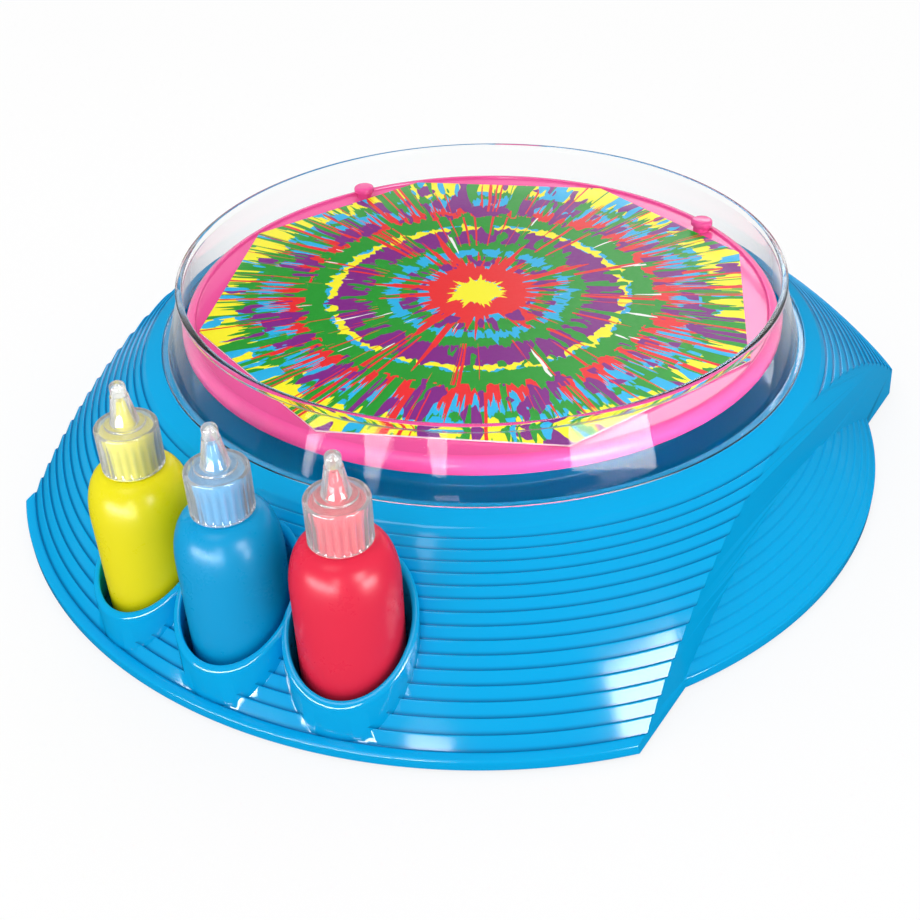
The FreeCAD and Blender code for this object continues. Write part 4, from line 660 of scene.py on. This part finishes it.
# ------------------------------------------------------------------ clear splash guard
# Tapered ring of clear polystyrene with a foot flange that stands in the housing's rabbet and a small
# bead round the top.
GUARD_TOP_RADIUS, GUARD_FOOT_RADIUS, GUARD_TOP, GUARD_WALL, GUARD_BEAD = 97.6, 103.6, 66.8, 1.6, 1.1
GUARD_FIT, GUARD_LIFT, BEAD_PROUD, BEAD_LOW, BEAD_FULL = 0.25, 0.05, 0.55, 2, 1.6
guard_low = SEAT + GUARD_LIFT
flange_top = guard_low + DECK - SEAT
bead_radius = GUARD_TOP_RADIUS + GUARD_BEAD * BEAD_PROUD
bead_low = GUARD_TOP - GUARD_BEAD * BEAD_LOW
guard = lathe("clear_guard", [
    (GUARD_FOOT_RADIUS - GUARD_WALL, guard_low, 0.3), (SEAT_RADIUS - GUARD_FIT, guard_low, 0.2),
    (SEAT_RADIUS - GUARD_FIT, flange_top, 0.4), (GUARD_FOOT_RADIUS, flange_top, 0.4),
    (GUARD_TOP_RADIUS, bead_low, 0.4), (bead_radius, GUARD_TOP - GUARD_BEAD * BEAD_FULL, 0.4),
    (bead_radius, GUARD_TOP, 0.6), (GUARD_TOP_RADIUS - GUARD_WALL, GUARD_TOP, 0.6),
    (GUARD_TOP_RADIUS - GUARD_WALL, bead_low, 0.4)], steps=288, closed=True)
soft_shaded(guard)


def clear_plastic(name, tint, haze, cloud, bend, clear=1.0, **shader):
    """Clear plastic whose surface has a slight, uneven haze; less than 1 clear makes it milky."""
    material = bpy.data.materials.new(name)
    material.use_nodes = True
    tree = material.node_tree
    tree.nodes.clear()
    place = add_node(tree, "ShaderNodeTexCoord").outputs["Object"]
    surface = add_node(tree, "ShaderNodeGroup", {"node_tree": skin}, Position=place, Colour=(*tint, 1),
                       Drift=0.02, Gloss=haze, Cloud=cloud)
    bump = add_node(tree, "ShaderNodeBump", Height=surface.outputs["Height"], Distance=0.02 * MM,
                    Strength=0.4)
    principled = add_node(tree, "ShaderNodeBsdfPrincipled", Base_Color=surface.outputs["Colour"],
                          Roughness=surface.outputs["Roughness"], Normal=bump.outputs["Normal"], IOR=bend,
                          Metallic=0.0, Transmission_Weight=clear, **shader)
    add_node(tree, "ShaderNodeOutputMaterial", Surface=principled.outputs["BSDF"])
    return material


dress(guard, clear_plastic("clear_styrene", (0.985, 0.995, 1.0), haze=0.02, cloud=0.02, bend=1.2,
                           Sheen_Weight=1.0, Sheen_Roughness=0.25))
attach(guard, "guard")
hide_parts("splash_guard")

# ------------------------------------------------------------------ paint bottles
# Squeezy bottles of coloured plastic.  A coloured nozzle plugs the neck, and a clear ribbed cap with a
# long tip screws over it.
BOTTLE_BOTTOM, BOTTLE_RADIUS, BOTTLE_WALL, BOTTLE_BODY, BOTTLE_HEIGHT = 3.2, 14.3, 1.0, 40.0, 54.0
FOOT_RISE, FOOT_INSIDE, FOOT_OUTSIDE, SHOULDER_STEPS, SHOULDER_IN, SHOULDER_UP = 0.5, 3, 2.4, 8, 0.8, 1.05
NECK_RADIUS, NECK_HEIGHT, CAP_RADIUS, CAP_HEIGHT, CAP_WALL, CAP_GAP = 6.9, 11.5, 8.4, 13.0, 1.0, 0.3
CAP_FLUTES, FLUTE_DEPTH, FLUTE_LOW, FLUTE_HIGH, FLUTE_FADE, FLUTE_EDGE = 24, 0.45, 0.02, 0.6, 0.5, 0.3
CAP_BAND, CAP_FLUTED, COLLAR_WIDTH, COLLAR_RISE = 0.8, 0.62, 1.6, 0.7
SPOUT_FOOT, SPOUT_TIP, SPOUT_HEIGHT, SPOUT_WALL, SPOUT_STEP = 3.8, 2.1, 12.6, 0.8, 0.35
TIP_LOW, TIP_MIDDLE, TIP_HIGH = 4.4, 3.9, 3.7
NOZZLE_HEIGHT, NOZZLE_TIP, NOZZLE_BORE, NOZZLE_FIT = 9.0, 1.1, 0.5, 0.05
frosted_cap = clear_plastic("frosted_cap", (0.98, 0.99, 0.99), haze=0.14, cloud=0.1, clear=0.9, bend=1.3,
                            Sheen_Weight=0.6, Coat_Weight=1.0, Coat_Roughness=0.05)
# Painted shade: the cap's colour is darkened in the flute grooves, deepest where a flute cuts in most.
flute_shade_mask = add_node(frosted_cap.node_tree, "ShaderNodeAttribute", {"attribute_name": "flute_shade"})
add_painted_shade(frosted_cap, flute_shade_mask.outputs["Fac"], (0.62, 0.68, 0.72))


def shoulder(radius_low, radius_high):
    """Rounded shoulder between the body and the neck, as points on an ellipse's quarter."""
    points = []
    for step in range(SHOULDER_STEPS + 1):
        turn = math.pi / 2 * step / SHOULDER_STEPS
        points.append((radius_high + (radius_low - radius_high) * math.cos(turn) ** SHOULDER_IN,
                       BOTTLE_BODY + (BOTTLE_HEIGHT - BOTTLE_BODY) * math.sin(turn) ** SHOULDER_UP))
    return points


def raised_by(points, height):
    return [(point[0], point[1] + height) + tuple(point[2:]) for point in points]


neck_top = BOTTLE_HEIGHT + NECK_HEIGHT
cap_low = BOTTLE_HEIGHT + CAP_GAP
cap_top = cap_low + CAP_HEIGHT
spout_top = cap_top + SPOUT_HEIGHT
plug_radius = NECK_RADIUS - BOTTLE_WALL - NOZZLE_FIT
collar_top = cap_top + COLLAR_RISE
for name, paint_colour in (("red", (0.86, 0.025, 0.07)), ("blue", (0.0, 0.35, 0.70)),
                           ("yellow", (0.86, 0.77, 0.006))):
    flask = lathe(name + "_flask", raised_by(
        [(0, FOOT_RISE), (BOTTLE_RADIUS - FOOT_INSIDE, FOOT_RISE, 0.4),
         (BOTTLE_RADIUS - FOOT_OUTSIDE, 0, 0.4), (BOTTLE_RADIUS, 0, 1.8)]
        + shoulder(BOTTLE_RADIUS, NECK_RADIUS)
        + [(NECK_RADIUS, neck_top, 0.3), (NECK_RADIUS - BOTTLE_WALL, neck_top)]
        + shoulder(BOTTLE_RADIUS - BOTTLE_WALL, NECK_RADIUS - BOTTLE_WALL)[::-1]
        + [(BOTTLE_RADIUS - BOTTLE_WALL, BOTTLE_WALL, 1.2), (0, BOTTLE_WALL + FOOT_RISE)],
        BOTTLE_BOTTOM), steps=128)
    nozzle = lathe(name + "_nozzle_tip", raised_by([
        (NOZZLE_BORE, BOTTLE_HEIGHT + NECK_HEIGHT / 2), (plug_radius, BOTTLE_HEIGHT + NECK_HEIGHT / 2, 0.3),
        (plug_radius, neck_top, 0.3), (SPOUT_FOOT - SPOUT_WALL * 1.5, neck_top, 0.4),
        (NOZZLE_TIP, neck_top + NOZZLE_HEIGHT, 0.2), (NOZZLE_BORE, neck_top + NOZZLE_HEIGHT)],
        BOTTLE_BOTTOM), steps=64, closed=True)
    cap = lathe(name + "_screw_cap", raised_by([
        (NECK_RADIUS + CAP_GAP, cap_low), (CAP_RADIUS, cap_low, 0.2), (CAP_RADIUS, cap_low + CAP_BAND),
        (CAP_RADIUS, cap_low + CAP_HEIGHT * CAP_FLUTED), (CAP_RADIUS, cap_top, 1.0),
        (SPOUT_FOOT + COLLAR_WIDTH, cap_top, 0.3), (SPOUT_FOOT + COLLAR_WIDTH, collar_top, 0.3),
        (SPOUT_FOOT, collar_top, 0.4), (SPOUT_TIP + SPOUT_STEP, spout_top - TIP_LOW),
        (SPOUT_TIP + SPOUT_STEP, spout_top - TIP_MIDDLE), (SPOUT_TIP, spout_top - TIP_HIGH),
        (SPOUT_TIP, spout_top, 1.3), (0, spout_top), (0, spout_top - SPOUT_WALL),
        (SPOUT_TIP - SPOUT_WALL, spout_top - SPOUT_TIP), (SPOUT_FOOT - SPOUT_WALL, cap_top - CAP_WALL),
        (NECK_RADIUS + CAP_GAP, cap_top - CAP_WALL)], BOTTLE_BOTTOM), steps=CAP_FLUTES * 8, closed=True)
    # Each vertex keeps its flute depth as the mask for the painted shade in the grooves.
    flute_shades = cap.data.attributes.new("flute_shade", "FLOAT", "POINT")
    for vertex, flute_shade in zip(cap.data.vertices, flute_shades.data):
        reach = math.hypot(vertex.co.x, vertex.co.y)
        low, high = ((BOTTLE_BOTTOM + cap_low + CAP_HEIGHT * share) * MM
                     for share in (FLUTE_LOW, FLUTE_HIGH))
        if reach > (CAP_RADIUS - FLUTE_EDGE) * MM and low < vertex.co.z < high + FLUTE_FADE * MM:
            wave = 0.5 - 0.5 * math.cos(CAP_FLUTES * math.atan2(vertex.co.y, vertex.co.x))
            vertex.co.xy *= 1 - FLUTE_DEPTH * MM * wave / reach
            flute_shade.value = wave
    filled = plastic(name + "_bottle_plastic", paint_colour, gloss=0.28, cloud=0.08, drift=0.06,
                     Specular_IOR_Level=0.25)
    for piece, material, body, node, slot in (
            (flask, filled, name + "_bottle", name + "_bottle", name + "_paint"),
            (nozzle, filled, name + "_bottle", name + "_nozzle", name + "_paint"),
            (cap, frosted_cap, name + "_cap", name + "_cap", "clear_cap")):
        put(piece, *cup_centres[name])
        soft_shaded(piece)
        dress(piece, material)
        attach(piece, body)
        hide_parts(node)

# ------------------------------------------------------------------ power button
# Round pink cap at the back with a dished top; its flange is caught under the pad of the button well.
BUTTON_PROUD, BUTTON_FLANGE, BUTTON_PLAY = 3.6, 1.6, 0.25
BUTTON_DISH, DISH_EDGE, DISH_FLOOR = 0.7, 2.2, 4.6
flange_high = BUTTON_PAD - PAD_THICKNESS - BUTTON_PLAY
button_top = BUTTON_PAD + BUTTON_PROUD
button = lathe("button_cap", [
    (0, flange_high - BUTTON_FLANGE), (BUTTON_RADIUS + FLANGE_WIDTH, flange_high - BUTTON_FLANGE, 0.3),
    (BUTTON_RADIUS + FLANGE_WIDTH, flange_high, 0.3), (BUTTON_RADIUS, flange_high),
    (BUTTON_RADIUS, button_top, 1.4), (BUTTON_RADIUS - DISH_EDGE, button_top, 0.5),
    (BUTTON_RADIUS - DISH_FLOOR, button_top - BUTTON_DISH, 1.5), (0, button_top - BUTTON_DISH)], steps=96)
put(button, *button_centre)
soft_shaded(button)
dress(button, plastic("pink_button", (0.86, 0.075, 0.32), gloss=0.2, cloud=0.1))
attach(button, "button")
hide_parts("power_button")

# ------------------------------------------------------------------ studio
# White floor and backdrop, soft lamps and the camera.  What is mirrored in the plastic is kept dark in
# front, so that the colours stay deep, and the highlight lamps draw the gloss.
FOCAL, PIXELS, SENSOR = 1250.0, 920.0, 36.0
EYE, LAMP_AIM = (-8.56, -369.04, 251.59), (0, 0, 0.04)
CAMERA_PITCH, CAMERA_ROLL = math.radians(35.774), math.radians(-1.820)
forward = Vector((0, math.cos(CAMERA_PITCH), -math.sin(CAMERA_PITCH)))
right = Vector((1, 0, 0))
upward = right.cross(forward)
right, upward = (right * math.cos(CAMERA_ROLL) + upward * math.sin(CAMERA_ROLL),
                 upward * math.cos(CAMERA_ROLL) - right * math.sin(CAMERA_ROLL))
camera_data = bpy.data.cameras.new("camera")
camera_data.sensor_width = SENSOR
camera_data.lens = FOCAL / PIXELS * SENSOR
camera_data.clip_start = 0.01
camera = bpy.data.objects.new("camera", camera_data)
turn = Matrix((right, upward, -forward)).transposed().to_4x4()
camera.matrix_world = Matrix.Translation(Vector(EYE) * MM) @ turn
bpy.context.collection.objects.link(camera)
bpy.context.scene.camera = camera


def ray_kinds(tree):
    """Marks rays from the camera or out of clear plastic, and rays mirrored on the way."""
    path = add_node(tree, "ShaderNodeLightPath")
    straight = maths(tree, "MAXIMUM", path.outputs["Is Camera Ray"], path.outputs["Is Transmission Ray"])
    return straight, maths(tree, "GREATER_THAN", path.outputs["Glossy Depth"], 0.5)


FLOOR_SIZE, FLOOR_DROP, FLOOR_GLOW = 12, 0.05, 0.8
plane = bmesh.new()
bmesh.ops.create_grid(plane, x_segments=1, y_segments=1, size=FLOOR_SIZE)
bmesh.ops.translate(plane, verts=plane.verts[:], vec=(0, 0, -FLOOR_DROP * MM))
floor = as_piece("floor", plane)
ground = bpy.data.materials.new("studio_white")
ground.use_nodes = True
tree = ground.node_tree
tree.nodes.clear()
seen, mirrored = ray_kinds(tree)
where = add_node(tree, "ShaderNodeNewGeometry").outputs["Position"]
depth = add_node(tree, "ShaderNodeSeparateXYZ", Vector=where).outputs["Y"]
behind = add_node(tree, "ShaderNodeMapRange", Value=depth, From_Min=-0.05, From_Max=0.25, To_Min=0.1,
                  To_Max=0.95)
tone = add_node(tree, "ShaderNodeMix", {"data_type": "RGBA"}, i0=mirrored, i6=(0.9, 0.9, 0.9, 1),
                i7=behind.outputs["Result"])
matt = add_node(tree, "ShaderNodeBsdfDiffuse", Color=tone.outputs[2])
glow = add_node(tree, "ShaderNodeEmission", Color=(1, 1, 1, 1), Strength=1.0)
blend = add_node(tree, "ShaderNodeMixShader", Fac=maths(tree, "MULTIPLY", seen, FLOOR_GLOW),
                 i1=matt.outputs[0], i2=glow.outputs[0])
add_node(tree, "ShaderNodeOutputMaterial", Surface=blend.outputs[0])
dress(floor, ground)

world = bpy.data.worlds.new("studio")
world.use_nodes = True
bpy.context.scene.world = world
tree = world.node_tree
tree.nodes.clear()
seen, mirrored = ray_kinds(tree)
fill, dim, backdrop = (
    add_node(tree, "ShaderNodeBackground", Color=(1, 1, 1, 1), Strength=strength).outputs[0]
    for strength in (0.96, 0.08, 1.0))
room = add_node(tree, "ShaderNodeMixShader", Fac=mirrored, i1=fill, i2=dim)
sky = add_node(tree, "ShaderNodeMixShader", Fac=seen, i1=room.outputs[0], i2=backdrop)
add_node(tree, "ShaderNodeOutputWorld", Surface=sky.outputs[0])


def lamp(name, where, width, height, power, diffuse=True, glossy=True):
    """Soft lamp aimed at the turntable, seen by matt or by mirrored light or by both."""
    data = bpy.data.lights.new(name, "AREA")
    data.shape = "RECTANGLE"
    data.size, data.size_y = width, height
    data.energy = power
    made = bpy.data.objects.new(name, data)
    made.location = where
    made.rotation_mode = "QUATERNION"
    made.rotation_quaternion = (Vector(LAMP_AIM) - Vector(where)).to_track_quat("-Z", "Y")
    made.visible_camera = False
    made.visible_diffuse = diffuse
    made.visible_glossy = glossy
    bpy.context.collection.objects.link(made)


lamp("key", (-0.5, -0.7, 1.3), 0.7, 0.7, 4.0)
lamp("fill", (0.8, -0.8, 0.5), 0.5, 0.5, 0.7, glossy=False)
lamp("streaks_right", (0.72, -1.07, 0.42), 0.4, 0.42, 10.0, diffuse=False)
lamp("streaks_front", (-0.27, -1.17, 0.3), 0.18, 0.24, 2.0, diffuse=False)
lamp("guard_left", (-0.24, -0.34, 0.04), 0.36, 0.05, 1.4, diffuse=False)
lamp("guard_right", (0.25, -0.34, 0.03), 0.19, 0.06, 1.1, diffuse=False)
lamp("back", (0.3, 1.2, 0.7), 0.4, 0.2, 1.2, diffuse=False)
bpy.context.scene.view_settings.view_transform = "Standard"
